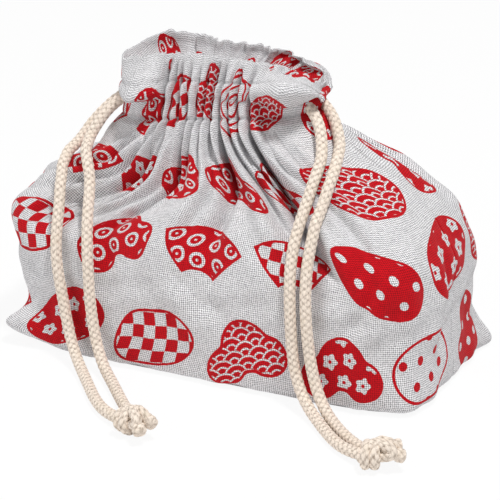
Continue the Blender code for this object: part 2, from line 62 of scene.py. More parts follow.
# %% Camera
TURN, TILT, AWAY, PICTURE_WIDTH = math.radians(25), math.radians(22), 1.0, 0.230
PIXEL = PICTURE_WIDTH / 500
MIDDLE_UP, MIDDLE_LEFT = 92 * PIXEL, PIXEL  # from the middle of the base to the middle of the picture
back = Vector((math.sin(TURN) * math.cos(TILT), -math.cos(TURN) * math.cos(TILT), math.sin(TILT)))
up = Vector((-math.sin(TURN) * math.sin(TILT), math.cos(TURN) * math.sin(TILT), math.cos(TILT)))
right = Vector((math.cos(TURN), math.sin(TURN), 0.0))
lens = bpy.data.cameras.new("camera")
camera = bpy.context.scene.camera = add_object("camera", lens)
lens.sensor_width = 36.0
lens.lens = 36.0 * AWAY / PICTURE_WIDTH
camera.location = up * MIDDLE_UP - right * MIDDLE_LEFT + back * AWAY
camera.rotation_mode = "QUATERNION"
camera.rotation_quaternion = (-back).to_track_quat("-Z", "Y")
print(f"lens {lens.lens:.0f} mm, {AWAY} m away")

# %% [markdown]
# ## The shape of the cloth
# The bag is worked out as one function of two numbers. One runs round the cloth in metres, from the
# middle of the front. The other counts stations up the bag, from the foot to the edge of the frill. Each
# station is a rounded rectangle with its own size, and a smooth curve joins the stations. A function is
# used, and not a sculpted mesh, because every seam, stitch and cord can then ask where the cloth is.

# %% Sizes of the pouch
BASE_LENGTH, BASE_DEPTH = 0.198, 0.102
SHOULDER_HEIGHT, NECK_HEIGHT, CASING_HEIGHT, FRILL_HEIGHT = 0.062, 0.105, 0.022, 0.011
NECK_LENGTH, NECK_DEPTH, NECK_SHIFT, NECK_RISE = 0.084, 0.030, -0.014, 0.007
FRILL_DROOP, FRILL_LEAN, LOOP_LIFT, MOUTH_GAP, END_WALL = 0.0080, 0.55, 0.004, 0.009, 0.010
CLOTH, CORD_DIAMETER = 0.0008, 0.005
PLEAT_DEPTH, PLEAT_WIDTH, FOLD_WIDTH, CREASE = 0.0050, 0.0029, 0.009, 0.0007
GATHER_SWELL, WRINKLE_DEPTH, FRILL_WAVE, RIM_WAVE = 0.0034, 0.00065, 0.0013, 0.0008
STITCH_PITCH, STITCH_SINK, TUCK_DEPTH, SEAM_SINK = 0.003, 0.0013, 0.0034, 0.0006
UNEVEN, WANDER, BOW = 0.42, 0.0016, 0.004  # how much the gathers differ, wander sideways and bend
EAR_REACH, EAR_LIFT, EAR_WIDTH, EAR_HEIGHT, PUFF_REACH = 0.011, 0.006, 0.013, 0.011, 0.012
PANEL = BASE_LENGTH + BASE_DEPTH
GIRTH = 2 * PANEL
LAP = 2 * math.pi / GIRTH  # a whole number of these goes once round the cloth without a jump
CORNER = BASE_LENGTH / 2
SHOULDER, NECK, FIRST_STITCH, CORD_LINE, SECOND_STITCH, LAST = 4, 8, 9, 10, 11, 12
print(f"each panel is {PANEL * 1000:.0f} mm wide when laid flat")

# %% Valleys between the gathers: place, reach down the body, depth in the casing and body, width
FRONT_VALLEYS = (
    (-0.109, 0.055, 0.1, 1.6, 0.8), (-0.096, 0.075, 0.4, 2.4, 0.9),
    (-0.083, 0.085, 0.9, 2.4, 0.9), (-0.069, 0.105, 1.1, 3.0, 1.0),
    (-0.057, 0.035, 0.9, 0.9, 0.8), (-0.043, 0.105, 1.1, 4.2, 1.2),
    (-0.031, 0.050, 1.0, 1.3, 0.8), (-0.019, 0.045, 0.8, 1.0, 0.8),
    (-0.006, 0.035, 1.1, 0.9, 0.8), (0.007, 0.105, 1.0, 3.4, 1.0),
    (0.021, 0.045, 0.8, 1.2, 0.8), (0.034, 0.050, 1.1, 1.2, 0.8),
    (0.052, 0.105, 1.0, 5.4, 1.2), (0.068, 0.040, 0.2, 1.2, 0.8),
    (0.086, 0.060, 0.0, 1.2, 1.2),
)
BACK_VALLEYS = (
    (-0.074, 0.070, 0.3, 2.0, 1.0), (-0.058, 0.105, 0.9, 3.2, 1.1),
    (-0.044, 0.040, 1.0, 1.0, 0.8), (-0.030, 0.075, 0.9, 2.0, 0.9),
    (-0.017, 0.040, 1.1, 1.0, 0.8), (-0.003, 0.100, 1.0, 2.8, 1.2),
    (0.011, 0.040, 0.9, 1.0, 0.8), (0.024, 0.055, 1.1, 1.4, 0.8),
    (0.038, 0.105, 1.0, 3.0, 1.1), (0.051, 0.040, 0.9, 1.0, 0.8),
    (0.064, 0.085, 1.1, 2.2, 0.9), (0.079, 0.100, 0.9, 2.8, 1.1),
    (0.094, 0.050, 0.3, 1.4, 0.8),
)
# Where the ends of a panel's gathers sit on the panel, and where they sit on the neck
FRONT_GATHERS = ((-0.095, -0.055), (0.060, 0.052))
BACK_GATHERS = ((-0.070, -0.045), (0.090, 0.050))
# Where a corner of the base sticks out, how strongly, and how much of the lift its tip takes
EARS = ((-CORNER, 1.0, 1.0), (CORNER, 0.1, 1.0), (CORNER + BASE_DEPTH, 0.88, -0.1),
        (-CORNER - BASE_DEPTH, 0.7, 0.6))
# Where the casing's loose ends puff out, how widely and how strongly, the front's two first
PUFFS = ((0.102, 0.034, 1.35), (-0.112, 0.020, 1.0),
         (PANEL + 0.119, 0.025, 0.8), (PANEL - 0.104, 0.031, 0.8))
print(len(FRONT_VALLEYS) + len(BACK_VALLEYS), "valleys")


# %% Stations up the bag
def stations():
    """Stations up the cloth, foot to frill: height, half length, half depth, squareness, shift, rise."""
    length, depth = BASE_LENGTH / 2, BASE_DEPTH / 2
    neck_length, neck_depth = NECK_LENGTH / 2, NECK_DEPTH / 2
    slope = NECK_HEIGHT - SHOULDER_HEIGHT
    first_stitch, cord_line = NECK_HEIGHT + 0.25 * CASING_HEIGHT, NECK_HEIGHT + 0.62 * CASING_HEIGHT
    top = NECK_HEIGHT + CASING_HEIGHT
    return np.array([
        (0.0, length - 0.005, depth - 0.006, 7.0, 0.0, 0.0),
        (0.005, length, depth - 0.001, 6.5, 0.0, 0.0),
        (0.43 * SHOULDER_HEIGHT, length - 0.001, depth - 0.001, 5.0, -0.001, 0.0),
        (0.77 * SHOULDER_HEIGHT, length + 0.003, depth, 4.8, -0.004, 0.0),
        (SHOULDER_HEIGHT, length + 0.003, depth - 0.001, 4.6, -0.006, 0.0),
        (SHOULDER_HEIGHT + 0.29 * slope, length - 0.0065, depth - 0.007, 3.8, -0.0045, 0.15),
        (SHOULDER_HEIGHT + 0.58 * slope, length - 0.025, depth - 0.017, 3.0, -0.003, 0.35),
        (SHOULDER_HEIGHT + 0.84 * slope, neck_length + 0.016, neck_depth + 0.009, 2.6, -0.011, 0.6),
        (NECK_HEIGHT, neck_length + 0.009, neck_depth + 0.004, 2.4, NECK_SHIFT, 0.9),
        (first_stitch, neck_length + 0.005, neck_depth + 0.001, 2.7, NECK_SHIFT, 1.0),
        (cord_line, neck_length + 0.003, neck_depth - 0.001, 2.8, NECK_SHIFT, 0.9),
        (top, neck_length + 0.003, neck_depth, 2.7, NECK_SHIFT + 0.0005, 0.5),
        (top + FRILL_HEIGHT, neck_length + 0.005, neck_depth + 0.001, 2.3, NECK_SHIFT + 0.0015, -0.1),
    ])


STATIONS = stations()
print("heights in mm:", np.round(STATIONS[:, 0] * 1000, 1))


# %% Smooth curves through points
def smooth(x):
    """Three x squared minus two x cubed, held at 0 below 0 and at 1 above 1."""
    x = np.clip(x, 0.0, 1.0)
    return x * x * (3 - 2 * x)


def curve_value(values, number):
    """A Catmull-Rom curve through these values, read at these numbers, which count the values from 0."""
    padded = np.concatenate([[2 * values[0] - values[1]], values, [2 * values[-1] - values[-2]]])
    i = np.clip(np.floor(number).astype(int), 0, len(padded) - 4)
    f = number - i
    if padded.ndim > 1:
        f = f[:, None]
    a, b, c, d = (padded[i + k] for k in range(4))
    bend = a - 2.5 * b + 2 * c - 0.5 * d + f * (0.5 * (d - a) + 1.5 * (b - c))
    return b + f * (0.5 * (c - a) + f * bend)


def at_station(v, column):
    """A column of STATIONS at station number v."""
    return curve_value(STATIONS[:, column], v)


def way_along(points):
    """How far each point lies along the line from the first one."""
    return np.concatenate([[0], np.cumsum(np.linalg.norm(np.diff(points, axis=0), axis=1))])


def ease(values, times):
    """Moves each value halfway to the middle of its neighbours, this many times; the two ends stay."""
    for _ in range(times):
        values[1:-1] = 0.5 * values[1:-1] + 0.25 * (values[:-2] + values[2:])


def through(points, spacing):
    """Evenly spaced points on a smooth curve through these points."""
    points = np.array(points)
    found = curve_value(points, np.linspace(0, len(points) - 1, 12 * (len(points) - 1) + 1))
    run = way_along(found)
    even = np.linspace(0, run[-1], int(round(run[-1] / spacing)) + 1)
    return np.stack([np.interp(even, run, found[:, k]) for k in range(3)], axis=1)


# %% The cloth without its folds
def round_girth(s, place):
    """Signed distance along the girth from place to s, the short way round."""
    return (s - place + PANEL) % GIRTH - PANEL


def hump(s, place, width):
    return np.exp(-((round_girth(s, place) / width) ** 2))


def gathered(s):
    """Where the cloth at s sits round the neck, on a girth as long as the cloth's."""
    places, moved = [], []
    for middle, ends in ((0.0, FRONT_GATHERS), (PANEL, BACK_GATHERS)):
        for place, neck_place in ((-PANEL / 2, -PANEL / 2),) + ends:
            places.append(middle + place)
            moved.append(middle + neck_place)
    places.append(PANEL + PANEL / 2)
    moved.append(PANEL + PANEL / 2)
    start = places[0]
    return np.interp((s - start) % GIRTH + start, places, moved)


def smooth_cloth(s, v, wall=0.0):
    """A rounded rectangle at each station, walked round by s; wall is 1 on the inner face of the casing.

    A point of the unit square is divided by its distance in the norm of the station's squareness, and
    the result is stretched to the station's half length and half depth.
    """
    places = np.array([-PANEL, -CORNER - BASE_DEPTH, -CORNER, CORNER, CORNER + BASE_DEPTH, PANEL])
    s = s + smooth((v - SHOULDER) / 4.2) * round_girth(gathered(s), s)
    along = round_girth(s, 0.0)
    x = np.interp(along, places, [0, -1, -1, 1, 1, 0])
    y = np.interp(along, places, [1, 1, -1, -1, 1, 1])
    height, length, depth, square, shift, rise = (at_station(v, k) for k in range(6))
    size = (np.abs(x) ** square + np.abs(y) ** square) ** (1 / square)
    length = length - wall * END_WALL
    depth = depth + wall * (MOUTH_GAP / 2 - depth)
    x, y = x / size, y / size
    frill = np.clip((v - CORD_LINE - 0.4) / 1.6, 0.0, 1.0) ** 1.2
    shut = smooth((x + 0.95) / 0.8)
    z = height + rise * NECK_RISE * x + frill * (LOOP_LIFT * y * (1 - shut) - FRILL_DROOP * x ** 4)
    closed = 1 - frill * FRILL_LEAN * shut
    return np.stack([length * x + shift, depth * closed * y, z], axis=-1)


def out_of_cloth(s, v):
    """Unit normals of the smooth cloth: the cross product of its two small steps."""
    step_s, step_v = 5e-4, 1e-3
    v = np.clip(v, step_v, LAST - step_v)
    across = smooth_cloth(s + step_s, v) - smooth_cloth(s - step_s, v)
    rise = smooth_cloth(s, v + step_v) - smooth_cloth(s, v - step_v)
    normal = np.cross(across, rise)
    return normal / np.linalg.norm(normal, axis=-1, keepdims=True)


# %% [markdown]
# ## Gathers and folds
# Where the cords draw the casing in, the cloth swells into rounded gathers with narrow valleys between
# them, and the valleys run on down the body as folds. They could be sculpted, or left to a cloth
# simulation. Here each fold is a formula that moves the cloth out or in along its normal, because the
# gathers then stand in their own places, and the print, the seams and the cords follow the same surface.

# %% Gathers and the valleys between them
# Where the gathers swell out: along the girth from the front's middle, all round
SWELL_PLACES = (-PANEL, -0.250, -0.222, -0.200, -0.108, -0.088, 0.060, 0.076, 0.200, 0.222, 0.250, PANEL)
SWELL_SHARES = (1.0, 1.0, 1.0, 0.0, 0.0, 1.0, 1.0, 0.0, 0.0, 1.0, 1.0, 1.0)


def below_casing(v):
    """Distance down the front of the cloth from the casing's lower stitching, and 0 above it."""
    numbers = np.linspace(0, LAST, 200)
    height, depth = at_station(numbers, 0), at_station(numbers, 2)
    run = np.concatenate([[0], np.cumsum(np.hypot(np.diff(height), np.diff(depth)))])
    return np.maximum(np.interp(FIRST_STITCH, numbers, run) - np.interp(v, numbers, run), 0.0)


def pleats(s, v):
    """How far the gathers move the cloth out along its normal.

    Across a valley its depth falls off as e to minus the distance over the width. Its bottom is rounded
    by CREASE, and it gets broader and shallower on its way down the body.
    """
    down = below_casing(v)
    near_casing = 1 - smooth(down / 0.035)
    moved = np.zeros(np.broadcast(s, v).shape)
    for panel, valleys in ((0.0, FRONT_VALLEYS), (PANEL, BACK_VALLEYS)):
        for place, reach, neck_depth, body_depth, share in valleys:
            uneven = 1 + UNEVEN * np.sin(5300 * place)
            neck_depth = uneven * neck_depth
            width = PLEAT_WIDTH * (0.7 + 0.3 * uneven) + share * FOLD_WIDTH * smooth(down / 0.065)
            fade = (1 - smooth(down / reach)) * (1 - 0.85 * smooth(v - SECOND_STITCH))
            deep = neck_depth + (body_depth - neck_depth) * smooth(down / 0.03)
            away = round_girth(s, panel + place + WANDER * np.sin(900 * place + 1.1 * v))
            valley = np.exp((CREASE - np.hypot(away, CREASE)) / width)
            most = PLEAT_DEPTH + GATHER_SWELL * near_casing * min(neck_depth, 1.0)
            moved = moved - deep * most * fade * valley
    share = np.interp(round_girth(s, 0.0), SWELL_PLACES, SWELL_SHARES)
    swell = 1.05 * GATHER_SWELL * near_casing * share
    return moved + 0.4 * PLEAT_DEPTH * (1 - smooth(down / 0.05)) + swell


# %% Long folds
# They hang from the casing. Each row has a ridge's start and end, as place along the girth and station,
# its half width and height in millimetres, and the depth of the valley beside it, on its right if above 0
DRAPES = (
    (-0.104, 8.6, -0.150, 4.6, 5.0, 2.6, 1.6), (-0.090, 8.4, -0.132, 4.9, 5.5, 3.0, 1.8),
    (-0.076, 8.4, -0.108, 4.5, 6.0, 3.2, 2.0), (-0.055, 8.4, -0.072, 4.2, 6.5, 2.6, 1.6),
    (-0.034, 8.5, -0.040, 5.0, 5.0, 2.2, 1.4), (-0.012, 8.3, -0.014, 3.6, 5.5, 2.2, 1.4),
    (0.000, 8.3, 0.016, 4.4, 5.0, 2.6, -1.6), (0.016, 8.5, 0.044, 4.2, 5.5, 3.6, 2.8),
    (0.038, 8.2, 0.076, 4.0, 6.5, 3.8, -3.2), (0.062, 8.0, 0.108, 4.6, 7.0, 1.8, -1.0),
    (-0.150, 3.2, -0.090, 2.0, 9.0, 1.6, 0.8), (0.096, 3.6, 0.070, 1.6, 9.0, 1.4, -0.8),
    (0.135, 4.4, 0.118, 1.6, 8.0, 1.6, 0.8), (-0.020, 3.0, 0.020, 1.4, 10.0, 1.0, 0.5),
    (PANEL - 0.080, 8.4, PANEL - 0.118, 4.6, 6.0, 3.0, -1.8),
    (PANEL - 0.045, 8.4, PANEL - 0.060, 4.2, 6.0, 2.8, 1.6),
    (PANEL - 0.010, 8.4, PANEL - 0.004, 4.0, 6.0, 2.6, 1.6),
    (PANEL + 0.030, 8.4, PANEL + 0.048, 4.4, 6.0, 2.8, -1.6),
    (PANEL + 0.070, 8.4, PANEL + 0.112, 4.8, 6.0, 3.0, 1.8),
    (PANEL + 0.150, 4.2, PANEL + 0.120, 1.8, 9.0, 1.6, 0.8),
)


def drapes(s, v):
    """Long folds: a ridge along the line from start to end, and a narrower valley on one side of it.

    Across the line the ridge is e to minus the square of the distance over its width. Along the line it
    swells and fades as the sine of the share of the way.
    """
    up_cloth = below_casing(v)
    moved = np.zeros(np.broadcast(s, v).shape)
    for s0, v0, s1, v1, width, height, valley in DRAPES:
        run0, run1 = below_casing(np.array([v0, v1]))
        ahead = np.array([round_girth(s1, s0), run1 - run0])
        length = np.hypot(*ahead)
        ahead /= length
        across, down = round_girth(s, s0), up_cloth - run0
        share = (across * ahead[0] + down * ahead[1]) / length
        bow = BOW * np.sin(np.pi * np.clip(share, 0, 1)) * np.sin(500 * s0)
        beside = across * ahead[1] - down * ahead[0] + bow
        swell = np.sin(np.pi * np.clip(0.06 + 0.94 * share, 0, 1)) ** 0.8 * (v < FIRST_STITCH + 0.6)
        wide = width * (0.6 + 0.6 * np.clip(share, 0, 1)) / 1000
        ridge = np.exp(-((beside / wide) ** 2))
        side = 1.25 * wide * np.sign(valley)
        groove = np.exp(-(((beside - side) / (0.5 * wide)) ** 2))
        moved = moved + 1.45 * swell * (height * ridge - 1.25 * abs(valley) * groove) / 1000
    return moved


# %% Wrinkles, stitching and the free edge of the frill
def small_wrinkles(s, v):
    """Shallow dents a few centimetres long, from a few sines of the place and the height."""
    run, turn = below_casing(v), LAP * s
    wave = np.sin(18 * turn + 120 * run + 1.3 * np.sin(150 * run)) * np.sin(7 * turn - 210 * run + 0.7)
    wave = wave + 0.7 * np.sin(30 * turn - 90 * run + 2.0) * np.sin(130 * run + 6 * turn)
    return WRINKLE_DEPTH * wave * smooth(run / 0.02) * smooth(v / 0.8)


def stitch_dents(s, v):
    """The two lines of stitching sink into the cloth, and it tucks in below the casing's puffed ends."""
    lines = sum(np.exp(-(((v - line) / 0.10) ** 2)) for line in (FIRST_STITCH, SECOND_STITCH))
    tuck = np.exp(-(((v - FIRST_STITCH + 0.1) / 0.32) ** 2))
    under_puffs = TUCK_DEPTH * tuck * sum(hump(s, place, width) for place, width, _ in PUFFS[:2])
    return -lines * (STITCH_SINK + 0.0003 * np.sin(2 * np.pi * s / STITCH_PITCH)) - under_puffs


def frill_waves(s, v):
    """The free edge of the frill goes in and out between the gathers."""
    free = smooth((v - SECOND_STITCH + 0.1) / 1.0)
    wave = np.sin(19 * LAP * s + 1.6 * np.sin(6 * LAP * s)) + 0.35 * np.sin(39 * LAP * s + 1.0)
    return FRILL_WAVE * free * wave


def all_folds(s, v):
    """Every fold of the cloth together, as a distance out along its normal."""
    return pleats(s, v) + drapes(s, v) + small_wrinkles(s, v) + stitch_dents(s, v) + frill_waves(s, v)


# %% Ears at the corners of the base, and puffs at the ends of the casing
def ears(s, v, lifted=False):
    """How strongly the corners of the base stick out, or how far their tips are lifted off the table."""
    total = 0.0
    for place, strength, lift in EARS:
        middle = 0.001 + 0.003 * max(lift, 0.0)
        near_foot = np.exp(-((at_station(v, 0) - middle) / EAR_HEIGHT) ** 2)
        total = total + (lift if lifted else 1.0) * strength * near_foot * hump(s, place, EAR_WIDTH)
    return total


def puffs(s, v):
    """How strongly the loose ends of the casing puff out."""
    window = smooth((v - CORD_LINE) / 0.7) * (1 - 0.95 * smooth((v - CORD_LINE - 0.5) / 1.6))
    return window * sum(strength * hump(s, place, width) for place, width, strength in PUFFS)


# %% The cloth with its folds
def moved_cloth(s, v, folds, ear_share=1.0):
    """The cloth moved out along its normal by folds, with its puffs and a share of its ears."""
    ear, puff = ear_share * ears(s, v), puffs(s, v)
    points = smooth_cloth(s, v)
    points[..., 0] += EAR_REACH * ear * np.sign(points[..., 0])
    points[..., 1] += 0.4 * EAR_REACH * ear * np.sign(points[..., 1])
    outward = out_of_cloth(s, v)
    points = points + outward * (PUFF_REACH * puff)[..., None]
    outward[..., 2] *= 1 - 0.9 * smooth(v - SECOND_STITCH + 0.6)
    outward /= np.linalg.norm(outward, axis=-1, keepdims=True)
    points = points + outward * folds[..., None]
    hang = np.exp(-((v - CORD_LINE - 0.4) / 0.5) ** 2)
    points[..., 2] += EAR_LIFT * ear_share * ears(s, v, lifted=True) - 0.3 * PUFF_REACH * puff * hang
    points[..., 2] = np.maximum(points[..., 2], 0.0)
    return points


print(f"deepest fold {-1000 * pleats(np.linspace(-0.15, 0.15, 400), np.full(400, 6.0)).min():.1f} mm")


# %% [markdown]
# ## From a grid of points to a mesh
# Each new piece is a grid: rows one way, columns the other. One helper turns a grid into quads and
# stores a UV map beside it. The UV map of the cloth holds metres of the flat cloth, so that the print
# and the weave keep their real size and follow the folds.

# %% Grid to mesh
def grid_quads(rows, columns, around=True, start=0):
    """Corner numbers of a grid's quads, counted from start; around joins the last column to the first."""
    number = start + np.arange(rows * columns).reshape(rows, columns)
    here = number if around else number[:, :-1]
    then = np.roll(number, -1, axis=1) if around else number[:, 1:]
    return np.stack([here[:-1], then[:-1], then[1:], here[1:]], axis=-1).reshape(-1, 4)


def grid_corners(uv):
    """The UVs at the corners of the same quads; a grid that goes around has one more column of them."""
    return np.stack([uv[:-1, :-1], uv[:-1, 1:], uv[1:, 1:], uv[1:, :-1]], axis=2).reshape(-1, 2)


def make_mesh(name, points, faces, layer, uv, material):
    """A smooth mesh in the scene, with a UV for each corner of its faces."""
    mesh = bpy.data.meshes.new(name)
    mesh.from_pydata(points.tolist(), [], faces)
    mesh.uv_layers.new(name=layer).data.foreach_set("uv", uv.astype(np.float32).ravel())
    mesh.polygons.foreach_set("use_smooth", np.ones(len(faces), bool))
    mesh.materials.append(material)
    mesh.update()
    return add_object(name, mesh)


def surface(name, points, uv, material, around=False):
    """A sheet of quads on points[row, column]."""
    quads = grid_quads(*points.shape[:2], around).tolist()
    return make_mesh(name, points.reshape(-1, 3), quads, "cloth", grid_corners(uv), material)


def triangles_of(obj):
    """How many triangles a piece has once its modifiers are applied."""
    made = obj.evaluated_get(bpy.context.evaluated_depsgraph_get()).to_mesh()
    made.calc_loop_triangles()
    return len(made.loop_triangles)


# %% [markdown]
# ## Shader building blocks
# Shader maths is easier to read as formulas. The helper below adds one Math node for each operation and
# hands back its output, so a node group is written as a few lines of sums.

# %% Helpers for node groups
def new_group(name, inputs, outputs):
    """An empty shader group with these sockets: pairs of name and kind, with a value for the inputs."""
    tree = bpy.data.node_groups.new(name, "ShaderNodeTree")
    for label, kind, value in inputs:
        socket = tree.interface.new_socket(label, in_out="INPUT", socket_type="NodeSocket" + kind)
        if value is not None:
            socket.default_value = value
    for label, kind in outputs:
        tree.interface.new_socket(label, in_out="OUTPUT", socket_type="NodeSocket" + kind)
    start, end = tree.nodes.new("NodeGroupInput"), tree.nodes.new("NodeGroupOutput")
    return tree, start.outputs, end.inputs


def put(tree, socket, value):
    """Links an output to a socket, or sets the socket's own value."""
    if isinstance(value, bpy.types.NodeSocket):
        tree.links.new(value, socket)
    else:
        socket.default_value = value


def sums(tree):
    """A function that adds one Math node to tree and returns its output."""
    def do(operation, *values):
        node = tree.nodes.new("ShaderNodeMath")
        node.operation = operation
        for socket, value in zip(node.inputs, values):
            put(tree, socket, value)
        return node.outputs[0]
    return do


def arrows(tree):
    """A function that adds one Vector Math node to tree and returns its output."""
    def do(operation, *values):
        node = tree.nodes.new("ShaderNodeVectorMath")
        node.operation = operation
        for socket, value in zip(node.inputs, values):
            put(tree, socket, value)
        return node.outputs["Value"] if operation in ("LENGTH", "DOT_PRODUCT") else node.outputs[0]
    return do


def apart(tree, vector):
    node = tree.nodes.new("ShaderNodeSeparateXYZ")
    put(tree, node.inputs[0], vector)
    return node.outputs[0], node.outputs[1], node.outputs[2]


def together(tree, x, y, z=0.0):
    node = tree.nodes.new("ShaderNodeCombineXYZ")
    for socket, value in zip(node.inputs, (x, y, z)):
        put(tree, socket, value)
    return node.outputs[0]


def ramp(tree, value, low, high, first=0.0, last=1.0):
    """A smooth step from first to last as value goes from low to high."""
    node = tree.nodes.new("ShaderNodeMapRange")
    node.interpolation_type = "SMOOTHSTEP"
    for socket, number in zip(node.inputs, (value, low, high, first, last)):
        put(tree, socket, number)
    return node.outputs[0]


def pick(tree, chooser, a, b):
    """a where chooser is 0 and b where it is 1."""
    node = tree.nodes.new("ShaderNodeMix")
    node.data_type = "FLOAT"
    for label, value in (("Factor", chooser), ("A", a), ("B", b)):
        put(tree, node.inputs[label], value)
    return node.outputs[0]


def blend_colours(tree, chooser, a, b):
    node = tree.nodes.new("ShaderNodeMix")
    node.data_type = "RGBA"
    put(tree, node.inputs[0], chooser)
    put(tree, node.inputs[6], a)
    put(tree, node.inputs[7], b)
    return node.outputs[2]


def use(tree, group, **values):
    """A node that holds a group, with its inputs set; underscores in the names stand for spaces."""
    node = tree.nodes.new("ShaderNodeGroup")
    node.node_tree = group
    for label, value in values.items():
        put(tree, node.inputs[label.replace("_", " ")], value)
    return node.outputs


# %% Helpers for materials
def new_material(name, **settings):
    """A Principled material, its tree and its shader; underscores in the settings stand for spaces."""
    material = bpy.data.materials.new(name)
    material.use_nodes = True
    shader = material.node_tree.nodes["Principled BSDF"]
    for label, value in settings.items():
        shader.inputs[label.replace("_", " ")].default_value = value
    return material, material.node_tree, shader


def add_bump(tree, shader, height, distance, strength):
    node = tree.nodes.new("ShaderNodeBump")
    node.inputs["Distance"].default_value = distance
    node.inputs["Strength"].default_value = strength
    put(tree, node.inputs["Height"], height)
    put(tree, shader.inputs["Normal"], node.outputs[0])


def uv_of(tree, name):
    node = tree.nodes.new("ShaderNodeUVMap")
    node.uv_map = name
    return node.outputs[0]


def one_of(tree, choice, kinds):
    """One of the kinds, in equal shares of choice from 0 to 1."""
    do, chosen = sums(tree), kinds[0]
    for k, kind in enumerate(kinds[1:], start=1):
        chosen = pick(tree, do("GREATER_THAN", choice, k / len(kinds)), chosen, kind)
    return chosen


def noise(tree, vector, scale, detail=2.0, rough=0.5, output="Fac"):
    node = tree.nodes.new("ShaderNodeTexNoise")
    put(tree, node.inputs["Vector"], vector)
    node.inputs["Scale"].default_value = scale
    node.inputs["Detail"].default_value = detail
    node.inputs["Roughness"].default_value = rough
    return node.outputs[output]


# %% [markdown]
# ## Cords
# Each cord leaves one end of the casing as two strands, which run down the front of the pouch, lie on the
# table and meet in a knot. Inside the casing it goes once round the neck. The route is a list of points
# that a smooth curve joins, and the strands are then eased and pushed until they rest on the cloth.

# %% Routes of the cords, from the casing down to the knot, in millimetres
def in_metres(*points):
    return [tuple(x / 1000 for x in point) for point in points]


LEFT_DOWN = in_metres(
    (-62, 5, 114.5), (-69, 2.5, 112.5), (-74, -1.5, 106.5), (-77, -4.5, 99), (-79.5, -9, 91.5),
    (-80.5, -18, 86), (-78.5, -28.5, 82), (-76, -37, 76.5), (-74.3, -42.5, 69), (-73.8, -47, 60),
    (-72.8, -50, 50), (-70.6, -51.5, 39), (-67.7, -52.5, 27), (-65.5, -53.5, 16),
    (-62.5, -55.5, 8.5), (-57, -60.5, 4.2), (-50, -68, 2.7), (-42.5, -77, 2.7), (-32.5, -89, 2.7),
    (-24.5, -96.5, 2.7), (-17, -101, 3.4), (-10, -104.5, 5))
LEFT_DOWN_INNER = in_metres(
    (-62, -5, 114.5), (-68.2, -7, 112), (-71.5, -10, 106), (-72.2, -13, 98.5), (-71.8, -19, 92.5),
    (-67.2, -26.5, 88.5), (-63, -32.5, 83), (-60.5, -40, 75), (-58, -47, 65), (-56, -51, 54),
    (-54.8, -52.5, 42), (-54, -53.3, 29), (-52, -54, 18), (-49, -56, 9.5), (-44, -61, 4.2),
    (-36.5, -67.5, 2.7), (-27, -79, 2.7), (-19, -88, 2.7), (-12, -96, 3.4), (-6.5, -102, 5))
RIGHT_DOWN_INNER = in_metres(
    (35, -5.2, 121.7), (40.2, -8.5, 118.7), (43.2, -12.2, 113.5), (43.5, -16, 107),
    (43, -20.5, 101), (42.7, -26.5, 95.2), (42.3, -33.5, 88), (41.2, -41, 78.5), (40.5, -46.5, 68),
    (41.5, -50.8, 56), (43, -53, 42), (44, -53.5, 28), (45.7, -54.2, 17), (49, -56, 9.2),
    (54, -59.5, 4.5), (61, -65.5, 2.7), (71, -76.5, 2.7), (80, -85, 2.7), (87, -89, 3.6),
    (93, -91.5, 5))
RIGHT_DOWN = in_metres(
    (35, 5.2, 121.7), (40.5, 3.5, 118.8), (44.9, -0.5, 115.5), (46.5, -5.5, 110),
    (47.6, -12, 104.8), (48.5, -18.5, 99.2), (50.2, -26, 92.5), (49.2, -33.5, 85), (48.4, -41, 76),
    (47.8, -46, 66.5), (48.5, -50, 56), (49.8, -52.5, 44), (51.3, -53.3, 32), (53.5, -54.2, 20),
    (56.7, -55.8, 11), (61.2, -59, 5.2), (67.5, -64.5, 3), (77, -74, 2.7), (86, -81.5, 2.9),
    (93, -86, 4), (97, -88.5, 5))
# Half of a cord's way round inside the casing, from the neck's middle: along the neck, and across it
CASING_TURN = ((0.0, 0.0080), (0.010, 0.0081), (0.018, 0.0088), (0.0235, 0.0099), (0.0290, 0.0099),
               (0.0335, 0.0078), (0.0363, 0.0042), (0.0370, 0.0))
CASING_WAY_OUT = ((0.010, 0.0080), (0.020, 0.0079), (0.030, 0.0070), (0.040, 0.0056))
CORD_SPACING = 0.0054
LEFT_KNOT, RIGHT_KNOT = (-0.0045, -0.1070, 0.0072), (0.0990, -0.0920, 0.0072)
LEFT_HEADING, RIGHT_HEADING = -0.45, 0.35


# %% From lists of points to a whole route
def in_casing(along, across, level):
    """A point of the cord line: along the neck from its middle, across it, and level above the line."""
    height = NECK_HEIGHT + 0.62 * CASING_HEIGHT + 0.9 * NECK_RISE * along / (NECK_LENGTH / 2 + 0.003)
    return (NECK_SHIFT + along, across, height + level)


def casing_way(side, level):
    """Round inside the casing, in at the front on this side (-1 left, 1 right) and out at the back."""
    return ([in_casing(side * x, -y, level) for x, y in reversed(CASING_WAY_OUT)]
            + [in_casing(-side * x, -y, level) for x, y in CASING_TURN]
            + [in_casing(-side * x, y, level) for x, y in reversed(CASING_TURN[:-1])]
            + [in_casing(side * x, y, level) for x, y in CASING_WAY_OUT])


def cord_route(side, level, front_strand, back_strand, step=0.0020):
    """The whole route of one cord, and the number of its points that lie in and near the casing."""
    casing = through([front_strand[1], front_strand[0]] + casing_way(side, level)
                     + [back_strand[0], back_strand[1]], step)
    rise = through(front_strand[1:], step)[::-1]
    fall = through(back_strand[1:], step)
    return np.concatenate([rise[:-1], casing, fall[1:]]), len(rise) - 1, len(rise) - 1 + len(casing)


